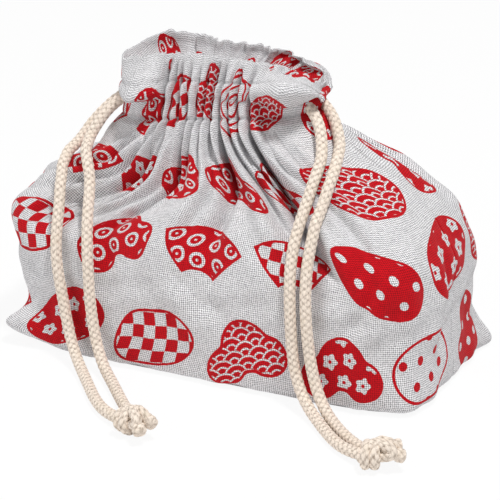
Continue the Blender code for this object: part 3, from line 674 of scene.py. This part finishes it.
# %% Cords that rest on the cloth and the table
def tree_of_cloth():
    """The outer face of the cloth as a tree that finds the nearest place."""
    s, v = np.meshgrid(np.linspace(0, GIRTH, 700, endpoint=False), np.linspace(0, LAST, 130))
    points = moved_cloth(s, v, all_folds(s, v))
    return BVHTree.FromPolygons(points.reshape(-1, 3).tolist(), grid_quads(*v.shape).tolist())


def rest_on(tree, route, first, last, clear):
    """Eases a route's strands, and moves them off the cloth and the table by clear, not in the casing."""
    free = np.ones(len(route), bool)
    free[first - 2:last + 2] = False
    free[[0, -1]] = False
    near_exits = np.r_[first - 9:first + 7, last - 7:last + 9]
    places = np.flatnonzero(free)
    for step in range(60):
        if step < 50:
            share = 0.7 if step < 30 else 0.3
            eased = 0.25 * (route[:-2] + route[2:]) + 0.5 * route[1:-1]
            route[places] += share * (eased[places - 1] - route[places])
        for i in places:
            place, normal, _, distance = tree.find_nearest(route[i])
            away = route[i] - np.array(place)
            if away @ np.array(normal) < 0:
                route[i] = np.array(place) + np.array(normal) * clear
            elif distance < clear:
                route[i] = np.array(place) + away * (clear / distance)
        route[:, 2] = np.maximum(route[:, 2], CORD_DIAMETER / 2 + 0.0002)
        for _ in range(2):
            beside = route[near_exits - 1] + route[near_exits + 1]
            route[near_exits] = 0.5 * route[near_exits] + 0.25 * beside
    return route


cloth_tree = tree_of_cloth()
CLEAR = CORD_DIAMETER / 2 + 0.0003
left_route, *left_casing = cord_route(-1, CORD_SPACING / 2, LEFT_DOWN_INNER, LEFT_DOWN)
right_route, *right_casing = cord_route(1, -CORD_SPACING / 2, RIGHT_DOWN_INNER, RIGHT_DOWN)
left_route = rest_on(cloth_tree, left_route, *left_casing, CLEAR)
right_route = rest_on(cloth_tree, right_route, *right_casing, CLEAR)
for label, route in (("left", left_route), ("right", right_route)):
    print(label, f"cord is {way_along(route)[-1]:.3f} m")

# %% [markdown]
# ## Braid
# A round braid has two families of strands that wind opposite ways and pass over and under each other.
# On the unrolled cord their crossings make a lattice of diamonds. One coordinate of the lattice counts
# the strands of the first family and the other those of the second, so one formula gives the relief.

# %% Relief of the braid
BRAID_STRANDS, BRAID_CELL, BRAID_RELIEF, CUT_END = 4, 0.0030, 0.00050, 0.007


def braid_height(turn, run):
    """Height from 0 to 1 at turn (0 to 1 round the cord) and run (metres along it).

    With a = N turn + run / cell and b = N turn - run / cell, a strand of the first family is centred
    where b is whole and a half. Its section is the root of one minus the square of its offset, and it is
    on top where the cells' numbers add up to an even number.
    """
    a = BRAID_STRANDS * turn + run / BRAID_CELL
    b = BRAID_STRANDS * turn - run / BRAID_CELL
    first = np.sqrt(np.clip(1 - (2 * (b % 1) - 1) ** 2, 0, 1)) ** 0.5
    second = np.sqrt(np.clip(1 - (2 * (a % 1) - 1) ** 2, 0, 1)) ** 0.5
    over_first = np.sin(np.pi * a) * (1 - 2 * (np.floor(b) % 2))
    over_second = -np.sin(np.pi * b) * (1 - 2 * (np.floor(a) % 2))
    return np.maximum(first * (0.55 + 0.45 * over_first), second * (0.55 + 0.45 * over_second))


def frames_along(route):
    """Unit vectors across a route that turn as little as they can, and their cross products with it."""
    ahead = np.gradient(route, axis=0)
    ahead /= np.linalg.norm(ahead, axis=1, keepdims=True)
    side = np.cross(ahead[0], (0.0, 1.0, 0.2))
    sides = np.empty_like(route)
    for i, along in enumerate(ahead):
        side = side - along * (side @ along)
        side /= np.linalg.norm(side)
        sides[i] = side
    return sides, np.cross(ahead, sides)


# %% A braid along a route
def braided_tube(route, radius, around=36, spacing=0.0004, capped=0.0012, flare=0.0):
    """Rings of points, their heights and UVs on a braid that follows a route, drawn in at both ends.

    Flare is how much wider the braid opens over the last CUT_END metres, where it is cut.
    """
    run = way_along(route)
    side, other = frames_along(route)
    even = np.linspace(0, run[-1], int(run[-1] / spacing) + 1)

    def read(values):
        return np.stack([np.interp(even, run, values[:, k]) for k in range(3)], axis=1)[:, None]

    turn = np.linspace(0, 1, around + 1)[None]
    height = braid_height(turn, even[:, None])
    inset = np.minimum(even, even[-1] - even)[:, None]
    round_end = np.sqrt(np.clip(1 - (1 - inset / capped) ** 2, 0.02, 1)) ** 0.5
    round_end = np.where(inset < capped, round_end, 1.0)
    opened = 1 + flare * smooth((even - even[-1] + CUT_END) / 0.006)[:, None]
    reach = (radius + BRAID_RELIEF * (height - 0.75)) * round_end * opened
    angle = 2 * np.pi * turn[..., None]
    points = read(route) + reach[..., None] * (np.cos(angle) * read(side) + np.sin(angle) * read(other))
    uv = np.stack(np.broadcast_arrays(turn * 2 * np.pi * radius, even[:, None]), axis=-1)
    return points, height, uv, read(route)[:, 0]


def tube_mesh(name, parts, material):
    """One mesh of one or more braided tubes with closed ends, and the height as a vertex attribute."""
    corners, quads, ends, heights, uvs, start = [], [], [], [], [], 0
    for points, height, uv, _ in parts:
        rows, around = points.shape[0], points.shape[1] - 1
        ring = start + np.arange(around)
        ends += [ring[::-1].tolist(), (ring + (rows - 1) * around).tolist()]
        quads.append(grid_quads(rows, around, start=start))
        uvs.append(grid_corners(uv))
        corners.append(points[:, :-1].reshape(-1, 3))
        heights.append(height[:, :-1].ravel())
        start += rows * around
    uvs.append(np.zeros((sum(len(end) for end in ends), 2)))
    faces = np.concatenate(quads).tolist() + ends
    tube = make_mesh(name, np.concatenate(corners), faces, "cord", np.concatenate(uvs), material)
    relief = tube.data.attributes.new("braid_height", "FLOAT", "POINT")
    relief.data.foreach_set("value", np.concatenate(heights).astype(np.float32))
    return tube


# %% [markdown]
# ## Cotton
# The cords are undyed cotton yarn. The backs of the strands are painted lighter as highlight, and the
# grooves between them are painted browner as shade. The height of the braid is stored on the mesh, so the
# material reads it there and its colours always lie on the right strands. Fine fibres, too small for the
# mesh, are added as bump.

# %% Cotton of the cords
def cotton_material():
    """Cream cotton: painted lighter on the strands' backs as highlight, painted browner in the grooves as
    shade, with fine fibres as bump.
    """
    material, tree, shader = new_material(
        "cream_cord", Roughness=0.85, Specular_IOR_Level=0.25, Sheen_Weight=0.15)
    do = sums(tree)
    relief = tree.nodes.new("ShaderNodeAttribute")
    relief.attribute_name = "braid_height"
    height = relief.outputs["Fac"]
    u, w, _ = apart(tree, uv_of(tree, "cord"))
    fibres = noise(tree, together(tree, u, do("MULTIPLY", w, 0.45)), 1500.0, 3.0, 0.7)
    patches = noise(tree, together(tree, u, w), 170.0, 2.0)
    # Painted light and shade: the braid's height paints the grooves dark brown as shade and the strands'
    # backs pale as highlight; the fibre noise adds tone
    light = ramp(tree, do("ADD", do("MULTIPLY", height, 0.50), do("MULTIPLY", fibres, 0.9)), 0.42, 1.00)
    colour = blend_colours(tree, light, (0.22, 0.155, 0.11, 1.0), (0.90, 0.79, 0.68, 1.0))
    stained = ramp(tree, patches, 0.50, 0.75, 0.0, 0.25)
    colour = blend_colours(tree, stained, colour, (0.74, 0.62, 0.46, 1.0))
    put(tree, shader.inputs["Base Color"], colour)
    add_bump(tree, shader, fibres, 0.00012, 0.7)
    return material


cotton = cotton_material()
print("material:", cotton.name)

# %% [markdown]
# ## Knots
# Both strands of a cord are tied together in one overhand knot. In the knot's own frame, x runs away from
# the pouch, y to the left and z up. The two strands go in side by side, turn back over themselves, wrap
# once round the pair of them, and come out through the bight as two short cut ends.

# %% Knots
KNOT_STRAND = 0.0022


def knot_strand(beside, tail):
    """Points of one strand in millimetres: beside is 1 or -1, and tail is where its cut end lies."""
    wrap = -4.6 if beside < 0 else -0.9
    ring = [(wrap + 0.5 * k / 8, -5.0 * math.sin(k * math.pi / 4), 4.3 * math.cos(k * math.pi / 4) - 0.4)
            for k in range(1, 8)]
    return ([(-6.5, 2.0 * beside, -1.6), (-2.0, 1.9 * beside, -0.8), (2.5, 2.0 * beside, -0.2),
             (6.0, 2.6 * beside - 0.6, 0.8), (6.8, 2.4 * beside - 0.4, 3.0), (4.0, 2.0 * beside, 4.6),
             (0.5 + 0.4 * wrap, 0.8 * beside + 0.6, 4.8)]
            + ring
            + [(2.0, 2.2 + 1.2 * beside, 2.2), (5.0, 3.0 * beside + 1.0, 1.6), tail])


def knot_pieces(route, centre, heading, tails):
    """Two braided strands that start inside the two ends of a cord and tie the knot."""
    along = np.array([math.cos(heading), math.sin(heading), 0.0])
    across = np.array([-along[1], along[0], 0.0])
    parts = []
    ends = [(route[0], route[6]), (route[-1], route[-7])]
    ends.sort(key=lambda end: (end[0] - np.array(centre)) @ across)
    for (end, before), beside, tail in zip(ends, (-1.0, 1.0), tails):
        ahead = (end - before) / np.linalg.norm(end - before)
        local = np.array(knot_strand(beside, tail)) / 1000
        placed = centre + local[:, :1] * along + local[:, 1:2] * across + local[:, 2:] * (0, 0, 1)
        points = np.concatenate([[end - 0.002 * ahead, end + 0.0005 * ahead], placed])
        curve = through(points, 0.0008)
        ease(curve, 6)
        curve[:, 2] = np.maximum(curve[:, 2], KNOT_STRAND + 0.0002)
        parts.append(braided_tube(curve, KNOT_STRAND, around=30, flare=0.38))
    return parts


left_parts = knot_pieces(left_route, LEFT_KNOT, LEFT_HEADING, ((10.2, -3.6, -1.2), (9.8, 2.2, 1.2)))
right_parts = knot_pieces(right_route, RIGHT_KNOT, RIGHT_HEADING, ((11.2, 0.2, -0.8), (10.2, 5.2, 1.4)))
knots = {"left_knot": tube_mesh("tied_left_knot", left_parts, cotton),
         "right_knot": tube_mesh("tied_right_knot", right_parts, cotton)}
for node, knot in knots.items():
    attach(knot, "root")
    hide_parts(node)
    print(knot.name, triangles_of(knot), "triangles")

# %% [markdown]
# ## The two cords
# Each cord is one braided tube along its whole route, also where the casing hides it, so its length can
# be measured. Both of its ends are inside its knot.

# %% The two cords
for side, route in (("left", left_route), ("right", right_route)):
    part = braided_tube(route, CORD_DIAMETER / 2)
    cord = tube_mesh("braided_" + side + "_cord", [part], cotton)
    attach(cord, "root")
    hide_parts(side + "_cord")
    length = float(way_along(route)[-1])
    tuple(float(x) for x in route[0])
    print(cord.name, triangles_of(cord), "triangles,", f"{length:.3f} m")


# %% [markdown]
# ## Print
# The red print is a loose brick pattern of rounded shapes, and each is filled with a small pattern of its
# own. It could be painted as a picture, but formulas stay sharp at any distance. One shader group
# scatters cells over the flat cloth, the next two pick an outline and a filling for each cell by its
# random numbers, and the last one puts them together as a mask that is 1 where the cloth is red.

# %% Scattered cells: the same lattice places motifs on the cloth and details inside a motif
def make_scatter():
    """Cells in brick order, each with its own local coordinates and two sets of random numbers.

    The row is y over the spacing, rounded down. Every other row moves by half a cell. The local vector
    runs from the cell's middle, which is moved a little at random.
    """
    tree, given, result = new_group(
        "scatter",
        [("Vector", "Vector", None), ("Width", "Float", 0.04), ("Height", "Float", 0.04),
         ("Jitter", "Float", 0.1), ("Seed", "Float", 0.0)],
        [("Local", "Vector"), ("First", "Vector"), ("Second", "Vector")])
    do = sums(tree)
    x, y, _ = apart(tree, given["Vector"])
    across, down = do("DIVIDE", x, given["Width"]), do("DIVIDE", y, given["Height"])
    row = do("FLOOR", down)
    odd = do("MULTIPLY", do("FLOORED_MODULO", row, 2.0), 0.5)
    across = do("ADD", across, odd)
    column = do("FLOOR", across)
    cell = together(tree, column, row, given["Seed"])
    throws = []
    for extra in (0.0, 7.3):
        node = tree.nodes.new("ShaderNodeTexWhiteNoise")
        node.noise_dimensions = "4D"
        put(tree, node.inputs["Vector"], cell)
        node.inputs["W"].default_value = extra
        throws.append(node.outputs["Color"])
    move_x, move_y, _ = apart(tree, throws[0])
    shift = do("MULTIPLY", given["Jitter"], 2.0)
    local_x = do("SUBTRACT", do("SUBTRACT", do("SUBTRACT", across, column), 0.5),
                 do("MULTIPLY", do("SUBTRACT", move_x, 0.5), shift))
    local_y = do("SUBTRACT", do("SUBTRACT", do("SUBTRACT", down, row), 0.5),
                 do("MULTIPLY", do("SUBTRACT", move_y, 0.5), shift))
    local_x, local_y = do("MULTIPLY", local_x, given["Width"]), do("MULTIPLY", local_y, given["Height"])
    put(tree, result["Local"], together(tree, local_x, local_y))
    put(tree, result["First"], throws[0])
    put(tree, result["Second"], throws[1])
    return tree


# %% A round outline with lobes: a disc, an oval, a plum blossom, by the number of lobes
def make_lobes():
    """Distance to an outline: its radius is size times one plus depth times the cosine of the lobes."""
    tree, given, result = new_group(
        "lobed outline",
        [("Vector", "Vector", None), ("Size", "Float", 0.016), ("Lobes", "Float", 5.0),
         ("Depth", "Float", 0.1), ("Turn", "Float", 0.0)],
        [("Distance", "Float")])
    do = sums(tree)
    x, y, _ = apart(tree, given["Vector"])
    far = arrows(tree)("LENGTH", together(tree, x, y))
    angle = do("ADD", do("MULTIPLY", do("ARCTAN2", y, x), given["Lobes"]), given["Turn"])
    swell = do("ADD", 1.0, do("MULTIPLY", given["Depth"], do("COSINE", angle)))
    put(tree, result["Distance"], do("SUBTRACT", far, do("MULTIPLY", given["Size"], swell)))
    return tree


scatter, lobes = make_scatter(), make_lobes()
print("groups:", scatter.name, "and", lobes.name)


# %% Outlines of the motifs
def make_outlines():
    """The distance to one of six outlines, picked by a number from 0 to 1, with Vector in metres.

    A blossom, a folding fan between two arcs, an oval, a gourd of two discs, a leaf, a drifting cloud.
    """
    tree, given, result = new_group(
        "motif outlines", [("Vector", "Vector", None), ("Choice", "Float", 0.5)], [("Distance", "Float")])
    do, arrow = sums(tree), arrows(tree)
    x, y, _ = apart(tree, given["Vector"])

    def disc(px, py, radius):
        reach = arrow("LENGTH", together(tree, do("SUBTRACT", x, px), do("SUBTRACT", y, py)))
        return do("SUBTRACT", reach, radius)

    blossom = use(tree, lobes, Vector=given["Vector"], Size=0.0148, Lobes=5.0, Depth=0.10, Turn=0.6)[0]
    oval = use(tree, lobes, Vector=given["Vector"], Size=0.0148, Lobes=2.0, Depth=0.20, Turn=0.0)[0]
    gourd = do("SMOOTH_MIN", disc(0.0, -0.0052, 0.0106), disc(0.0, 0.0085, 0.0074), 0.0035)
    leaf = do("MAXIMUM", disc(0.0, -0.0080, 0.0193), disc(0.0, 0.0080, 0.0193))
    pivot = disc(0.0, -0.0165, 0.0)
    band = do("SUBTRACT", do("ABSOLUTE", do("SUBTRACT", pivot, 0.0180)), 0.0092)
    sides = do("SUBTRACT", do("MULTIPLY", do("ABSOLUTE", x), 0.74),
               do("MULTIPLY", do("ADD", y, 0.0165), 0.67))
    fan = do("MAXIMUM", band, sides)
    cloud = do("SMOOTH_MIN", disc(-0.0085, -0.003, 0.0080), disc(0.0090, -0.003, 0.0078), 0.004)
    cloud = do("SMOOTH_MIN", cloud, disc(0.0005, 0.0030, 0.0100), 0.003)
    put(tree, result["Distance"], one_of(tree, given["Choice"], [blossom, fan, oval, gourd, leaf, cloud]))
    return tree


outlines = make_outlines()
print("group:", outlines.name)


# %% Fillings of the motifs
def make_fillings():
    """1 where a motif's filling is red: one of nine traditional fillings, picked by a number from 0 to 1.

    They are waves of nested arcs, checks, ringed dots, white blossoms, white dots, red dots, red petals,
    a spiral and bars.
    """
    tree, given, result = new_group(
        "motif fillings",
        [("Vector", "Vector", None), ("Choice", "Float", 0.5), ("Seed", "Float", 0.0)], [("Red", "Float")])
    do, arrow = sums(tree), arrows(tree)
    vector = given["Vector"]
    x, y, _ = apart(tree, vector)

    # Waves: of the circles centred below, beside and above, the lowest one that holds the point wins
    size, step = 0.0052, 0.0026
    row = do("FLOOR", do("DIVIDE", y, step))
    rest = do("SUBTRACT", y, do("MULTIPLY", row, step))

    def ring_distance(back_rows):
        odd = do("MULTIPLY", do("FLOORED_MODULO", do("SUBTRACT", row, back_rows), 2.0), size)
        px = do("PINGPONG", do("ADD", x, odd), size)
        return arrow("LENGTH", together(tree, px, do("ADD", rest, back_rows * step)))

    near, middle, far = ring_distance(1.0), ring_distance(0.0), ring_distance(-1.0)
    reach = pick(tree, do("LESS_THAN", middle, size), far, middle)
    reach = pick(tree, do("LESS_THAN", near, size), reach, near)
    ring = do("PINGPONG", do("ADD", reach, 0.0003), 0.00125)
    waves = ramp(tree, ring, 0.00026, 0.00040)

    check = do("MULTIPLY", do("SINE", do("MULTIPLY", x, math.pi / 0.0052)),
               do("SINE", do("MULTIPLY", y, math.pi / 0.0052)))
    checks = ramp(tree, check, -0.03, 0.03)

    def lattice(width, height, jitter):
        local = use(tree, scatter, Vector=vector, Width=width, Height=height, Jitter=jitter,
                    Seed=given["Seed"])["Local"]
        a, b, _ = apart(tree, local)
        return local, arrow("LENGTH", together(tree, a, b))

    _, from_dot = lattice(0.0085, 0.0074, 0.05)
    ringed = ramp(tree, do("ABSOLUTE", do("SUBTRACT", from_dot, 0.0024)), 0.00050, 0.00062)
    ringed = do("MULTIPLY", ringed, ramp(tree, from_dot, 0.0004, 0.0006))

    local, from_flower = lattice(0.0094, 0.0082, 0.13)
    flower = use(tree, lobes, Vector=local, Size=0.0027, Lobes=5.0, Depth=0.16, Turn=0.4)[0]
    flowers = ramp(tree, flower, -0.00006, 0.00006)
    flowers = do("MAXIMUM", flowers, ramp(tree, from_flower, 0.0006, 0.0008, 1.0, 0.0))

    _, from_spot = lattice(0.0090, 0.0080, 0.10)
    spots = ramp(tree, from_spot, 0.00165, 0.0018, 1.0, 0.0)

    local, from_petals = lattice(0.0076, 0.0070, 0.10)
    petal = use(tree, lobes, Vector=local, Size=0.0019, Lobes=5.0, Depth=0.62, Turn=0.0)[0]
    petals = ramp(tree, petal, -0.0001, 0.0001, 1.0, 0.0)
    petals = do("MULTIPLY", petals, ramp(tree, from_petals, 0.0004, 0.0007))

    turned = do("DIVIDE", do("ARCTAN2", y, x), 2 * math.pi)
    coil = do("SUBTRACT", do("DIVIDE", arrow("LENGTH", together(tree, x, y)), 0.0046), turned)
    spiral = ramp(tree, do("ABSOLUTE", do("SUBTRACT", do("FRACT", coil), 0.5)), 0.13, 0.16, 1.0, 0.0)

    bars = ramp(tree, do("SINE", do("MULTIPLY", x, 2 * math.pi / 0.0056)), -0.05, 0.05)

    dotted = do("SUBTRACT", 1.0, spots)
    kinds = [flowers, waves, spots, ringed, petals, checks, flowers, spiral, waves, ringed, dotted, waves,
             flowers, bars, checks, ringed]
    put(tree, result["Red"], one_of(tree, given["Choice"], kinds))
    return tree


fillings = make_fillings()
print("group:", fillings.name)


# %% The whole print, from metres of flat cloth to a red mask
MOTIF_SPACING, ROW_SPACING, LINE_WIDTH = 0.048, 0.90, 0.0012


def make_print():
    """Motifs in brick order, each turned and sized at random, filled and outlined in red.

    The local vector is turned about the cell's middle. The filling shows where the distance to the
    outline is below zero, and the outline where the distance is within a line's half width.
    """
    tree, given, result = new_group(
        "red print",
        [("Vector", "Vector", None), ("Spacing", "Float", MOTIF_SPACING), ("Seed", "Float", 11.0)],
        [("Red", "Float")])
    do = sums(tree)
    cells = use(tree, scatter, Vector=given["Vector"], Width=given["Spacing"],
                Height=do("MULTIPLY", given["Spacing"], ROW_SPACING), Jitter=0.035, Seed=given["Seed"])
    size, turn, shape = apart(tree, cells["Second"])
    _, _, filling = apart(tree, cells["First"])
    turned = tree.nodes.new("ShaderNodeVectorRotate")
    turned.rotation_type = "Z_AXIS"
    put(tree, turned.inputs["Vector"], cells["Local"])
    put(tree, turned.inputs["Angle"], do("MULTIPLY", do("SUBTRACT", turn, 0.5), 1.1))
    scale = do("ADD", 1.12, do("MULTIPLY", size, 0.14))
    node = tree.nodes.new("ShaderNodeVectorMath")
    node.operation = "SCALE"
    put(tree, node.inputs[0], turned.outputs[0])
    put(tree, node.inputs["Scale"], do("DIVIDE", 1.0, scale))
    local = node.outputs[0]
    distance = use(tree, outlines, Vector=local, Choice=shape)[0]
    red = use(tree, fillings, Vector=local, Choice=filling, Seed=do("MULTIPLY", size, 97.0))[0]
    inside = ramp(tree, distance, -0.00008, 0.00008, 1.0, 0.0)
    line = ramp(tree, do("ABSOLUTE", do("ADD", distance, LINE_WIDTH / 2)), 0.00052, 0.00068, 1.0, 0.0)
    put(tree, result["Red"], do("MAXIMUM", do("MULTIPLY", inside, red), line))
    return tree


red_print = make_print()
print("group:", red_print.name)


# %% [markdown]
# ## Canvas
# The cloth is a plain-woven cotton and linen canvas. Its threads are about 0.9 mm apart and uneven, with
# thick places and darker flecks. The print sits on top of the threads, so its edges are a little ragged.
# The hollows between the threads are painted dark as shade, on the white ground and on the red. The weave
# is worked out from the same metres as the print.

# %% Weave
THREAD_PITCH, RAGGED_EDGE = 0.00093, 0.00045


def make_weave():
    """Painted shade of a plain weave, dark in the hollows between the threads, with each thread's own
    tone, and where it
    has flecks: at each crossing one thread lies over the other.

    Each thread's height is the size of a sine across it. A product of two sines says which thread is on
    top, and noise drawn out along each thread makes it thick, thin or dark.
    """
    tree, given, result = new_group(
        "plain weave", [("Vector", "Vector", None), ("Pitch", "Float", THREAD_PITCH)],
        [("Shade", "Float"), ("Fleck", "Float")])
    do = sums(tree)
    x, y, _ = apart(tree, given["Vector"])
    wobble = do("MULTIPLY", do("SUBTRACT", noise(tree, given["Vector"], 160.0), 0.5), 0.0012)
    x, y = do("ADD", x, wobble), do("SUBTRACT", y, wobble)
    a = do("MULTIPLY", do("DIVIDE", x, given["Pitch"]), math.pi)
    b = do("MULTIPLY", do("DIVIDE", y, given["Pitch"]), math.pi)
    warp, weft = do("ABSOLUTE", do("SINE", a)), do("ABSOLUTE", do("SINE", b))
    over = do("MULTIPLY", do("SINE", do("ADD", a, math.pi / 2)), do("SINE", do("ADD", b, math.pi / 2)))
    over = ramp(tree, over, -0.35, 0.35)
    height = pick(tree, over, weft, warp)
    long_x = noise(tree, together(tree, do("MULTIPLY", x, 0.30), y), 1000.0, 2.0, 0.7)
    long_y = noise(tree, together(tree, x, do("MULTIPLY", y, 0.30), 4.0), 1000.0, 2.0, 0.7)
    thick = pick(tree, over, long_x, long_y)
    lift = ramp(tree, thick, 0.28, 0.66)
    # Painted shade: the colour darkens where the threads dip into the hollows between them
    painted_hollow_shade = ramp(tree, height, 0.28, 0.90)
    put(tree, result["Shade"], do("ADD", do("MULTIPLY", painted_hollow_shade, 0.76), do("MULTIPLY", lift, 0.24)))
    put(tree, result["Fleck"], ramp(tree, thick, 0.60, 0.74))
    return tree


weave = make_weave()
print("group:", weave.name)


# %% Canvas material
def canvas_material():
    """The woven, printed canvas as one Principled material that reads the cloth's own UV map."""
    material, tree, shader = new_material(
        "printed_canvas", Roughness=0.88, Specular_IOR_Level=0.15, Sheen_Weight=0.05, Sheen_Roughness=0.5)
    uv = uv_of(tree, "cloth")
    threads = use(tree, weave, Vector=uv)
    ragged = noise(tree, uv, 1500.0, output="Color")
    moved = arrows(tree)("MULTIPLY_ADD", ragged, (RAGGED_EDGE, RAGGED_EDGE, 0.0), uv)
    red = use(tree, red_print, Vector=moved)[0]
    fleck = sums(tree)("MULTIPLY", threads["Fleck"], 0.20)
    # Painted shade: the hollows between the threads are painted near black on the white ground and dark
    # red in the print
    ground = blend_colours(tree, threads["Shade"], (0.06, 0.055, 0.07, 1.0), (1.0, 0.99, 1.0, 1.0))
    ground = blend_colours(tree, fleck, ground, (0.42, 0.38, 0.40, 1.0))
    dye = blend_colours(tree, threads["Shade"], (0.16, 0.001, 0.004, 1.0), (0.70, 0.004, 0.012, 1.0))
    put(tree, shader.inputs["Base Color"], blend_colours(tree, red, ground, dye))
    add_bump(tree, shader, threads["Shade"], 0.00020, 0.8)
    return material


canvas = canvas_material()
print("material:", canvas.name)


# %% [markdown]
# ## The panels
# The real pouch is cut as a front and a back panel that are sewn together at the sides. Each panel here
# is one sheet. It starts at the foot, runs up the body and the casing to the edge of the frill, folds
# over, and comes down inside as the casing's facing. Solidify gives the sheet the canvas's thickness.

# %% The facing, inside the mouth
def below_folds(folds, reach):
    """The deepest fold within reach columns, eased along the rows."""
    deepest = np.min([np.roll(folds, k, axis=1) for k in range(-reach, reach + 1)], axis=0)
    return np.mean([np.roll(deepest, k, axis=1) for k in range(-reach, reach + 1)], axis=0)


def facing(s, v):
    """The inner face: close under the folds in the frill, and the mouth's straight wall in the casing."""
    casing = smooth((v - NECK + 0.4) / 1.0) * (1 - smooth((v - CORD_LINE - 0.7) / 1.2))
    folds = pleats(s, v) + frill_waves(s, v)
    close = smooth((v - SECOND_STITCH + 0.2) / 0.9)
    folds = close * folds + (1 - close) * below_folds(folds, 4) - 1.5 * CLOTH
    follow = moved_cloth(s, v, folds, 0.0)
    plain = smooth_cloth(s, v, 1.0)
    return follow * (1 - casing[..., None]) + plain * casing[..., None]


# %% Metres of flat cloth
def flat_metres(s, points):
    """UV of a panel: the distances walked along the cloth, across each row and up each column.

    A row is stretched evenly to the panel's cut width, so the print keeps its width on the ridges of the
    gathers and most of it hides in the valleys, as it does on the real cloth.
    """
    steps = np.linalg.norm(np.diff(points, axis=0), axis=2)
    walked = np.concatenate([np.zeros((1, points.shape[1])), np.cumsum(steps, axis=0)])
    walked = 0.25 * walked + 0.75 * walked.mean(axis=1, keepdims=True)
    row = np.linalg.norm(np.diff(points, axis=1), axis=2)
    row = np.concatenate([np.zeros((len(points), 1)), np.cumsum(row, axis=1)], axis=1)
    across = s[0] + (s[-1] - s[0]) * row / row[:, -1:]
    eased = across.copy()
    ease(eased, 12)
    return np.stack([0.15 * s[None] + 0.85 * eased, walked], axis=-1)


def thicken(piece):
    """Gives a sheet the canvas's thickness, on its inner side."""
    solid = piece.modifiers.new("cloth", "SOLIDIFY")
    solid.thickness, solid.offset = CLOTH, -1.0


# %% Front and back panels
def make_panel(name, middle, columns):
    """One panel as a sheet from the foot over the frill and down the facing to the first stitching."""
    s = middle + np.linspace(-PANEL / 2, PANEL / 2, columns)
    rows = np.concatenate([np.linspace(0, 2, 22)[:-1], np.linspace(2, 8, 76)[:-1], np.linspace(8, 12, 42)])
    down = np.linspace(12, 9.2, 14)
    s_out, v_out = np.meshgrid(s, rows)
    s_in, v_in = np.meshgrid(s, down)
    seam = np.exp(-((PANEL / 2 - np.abs(s_out - middle)) / 0.0010)) * smooth((FIRST_STITCH - v_out) / 1.0)
    outer = moved_cloth(s_out, v_out, all_folds(s_out, v_out) - SEAM_SINK * seam)
    wave = np.sin(23 * LAP * s_out + 1.7 * np.sin(9 * LAP * s_out))
    outer[..., 2] += RIM_WAVE * smooth(v_out - SECOND_STITCH) * wave
    inner = facing(s_in, v_in)
    fold = 0.5 * (outer[-1] + inner[0]) + np.array([0, 0, 0.75 * CLOTH])
    points = np.concatenate([outer, fold[None], inner])
    flat = flat_metres(s, points)
    panel = surface(name, points, flat, canvas)
    thicken(panel)
    return panel


front = make_panel("front_panel", 0.0, 300)
rear = make_panel("back_panel", PANEL, 280)
for piece in (front, rear):
    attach(piece, "root")
    print(piece.name, triangles_of(piece), "triangles")
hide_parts("pouch_cloth")

# %% [markdown]
# ## Base
# The bottom of the pouch is a rectangle of the same canvas, sewn to the foot of both panels. It is made as
# rings that shrink from the panels' own foot to the middle, so that it meets them all round, also at the
# corners that stick out. The panels are gathered sheets that rest on it.

# %% The base
OFF_TABLE = 0.00005


def make_base():
    """The base as rings that shrink from the foot of the panels to the middle, flat on the table."""
    s = np.linspace(0, GIRTH, 360, endpoint=False)
    v = np.zeros((1, len(s)))
    foot = moved_cloth(s[None], v, all_folds(s[None], v))[0]
    share = np.array([1.0, 0.985, 0.96, 0.92, 0.85, 0.7, 0.5, 0.3, 0.12, 0.02])
    rings = foot[None] * share[:, None, None]
    rings[..., 2] = foot[None, :, 2] * smooth((share[:, None] - 0.80) / 0.2) + OFF_TABLE
    uv = np.concatenate([rings, rings[:, :1]], axis=1)[..., :2] + np.array([0.011, 0.017])
    return surface("base_panel", rings[::-1], uv[::-1], canvas, around=True)


base = make_base()
thicken(base)
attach(base, "root")
print(base.name, triangles_of(base), "triangles")


# %% [markdown]
# ## Floor and light
# The pouch stands on white paper, under one small lamp above it and a broad weak one at its left. Most of
# what the camera sees of the paper is plain white light, so the paper has no edge, and what is left of
# its real shading keeps a soft shadow under the pouch.

# %% Floor and light
def light(name, place, size, power):
    data = bpy.data.lights.new(name, "AREA")
    data.energy, data.size = power, size
    lamp = add_object(name, data)
    lamp.location = place
    lamp.rotation_mode = "QUATERNION"
    lamp.rotation_quaternion = (Vector(place) - Vector((0, 0, 0.06))).to_track_quat("Z", "Y")


def camera_share(tree, share):
    """The share for light that goes to the camera, straight, by a mirror or through glass; otherwise 0."""
    path = tree.nodes.new("ShaderNodeLightPath")
    do = sums(tree)
    seen = do("MAXIMUM", path.outputs["Is Camera Ray"], path.outputs["Is Glossy Ray"])
    return do("MULTIPLY", do("MAXIMUM", seen, path.outputs["Is Transmission Ray"]), share)


def paper():
    """White paper that keeps a soft shadow: most of what the camera sees of it is plain white."""
    material, tree, shader = new_material("white_paper", Base_Color=(0.92, 0.92, 0.92, 1.0), Roughness=0.9)
    white, mix = tree.nodes.new("ShaderNodeEmission"), tree.nodes.new("ShaderNodeMixShader")
    put(tree, mix.inputs[0], camera_share(tree, 0.92))
    tree.links.new(shader.outputs[0], mix.inputs[1])
    tree.links.new(white.outputs[0], mix.inputs[2])
    tree.links.new(mix.outputs[0], tree.nodes["Material Output"].inputs[0])
    return material


bpy.ops.mesh.primitive_plane_add(size=6.0, location=(0, 0, -0.0003))
floor = bpy.context.object
floor.name = "floor"
floor.data.materials.append(paper())
world = bpy.context.scene.world = bpy.data.worlds.new("studio")
world.use_nodes = True
sky = world.node_tree
background = sky.nodes["Background"]
background.inputs["Color"].default_value = (1.0, 1.0, 1.0, 1.0)
put(sky, background.inputs["Strength"], sums(sky)("ADD", 0.40, camera_share(sky, 0.60)))
light("key", (0.42, -0.30, 1.4), 0.18, 15.5)
light("fill", (-1.0, -0.9, 0.5), 0.7, 4.2)
bpy.context.scene.view_settings.view_transform = "Standard"
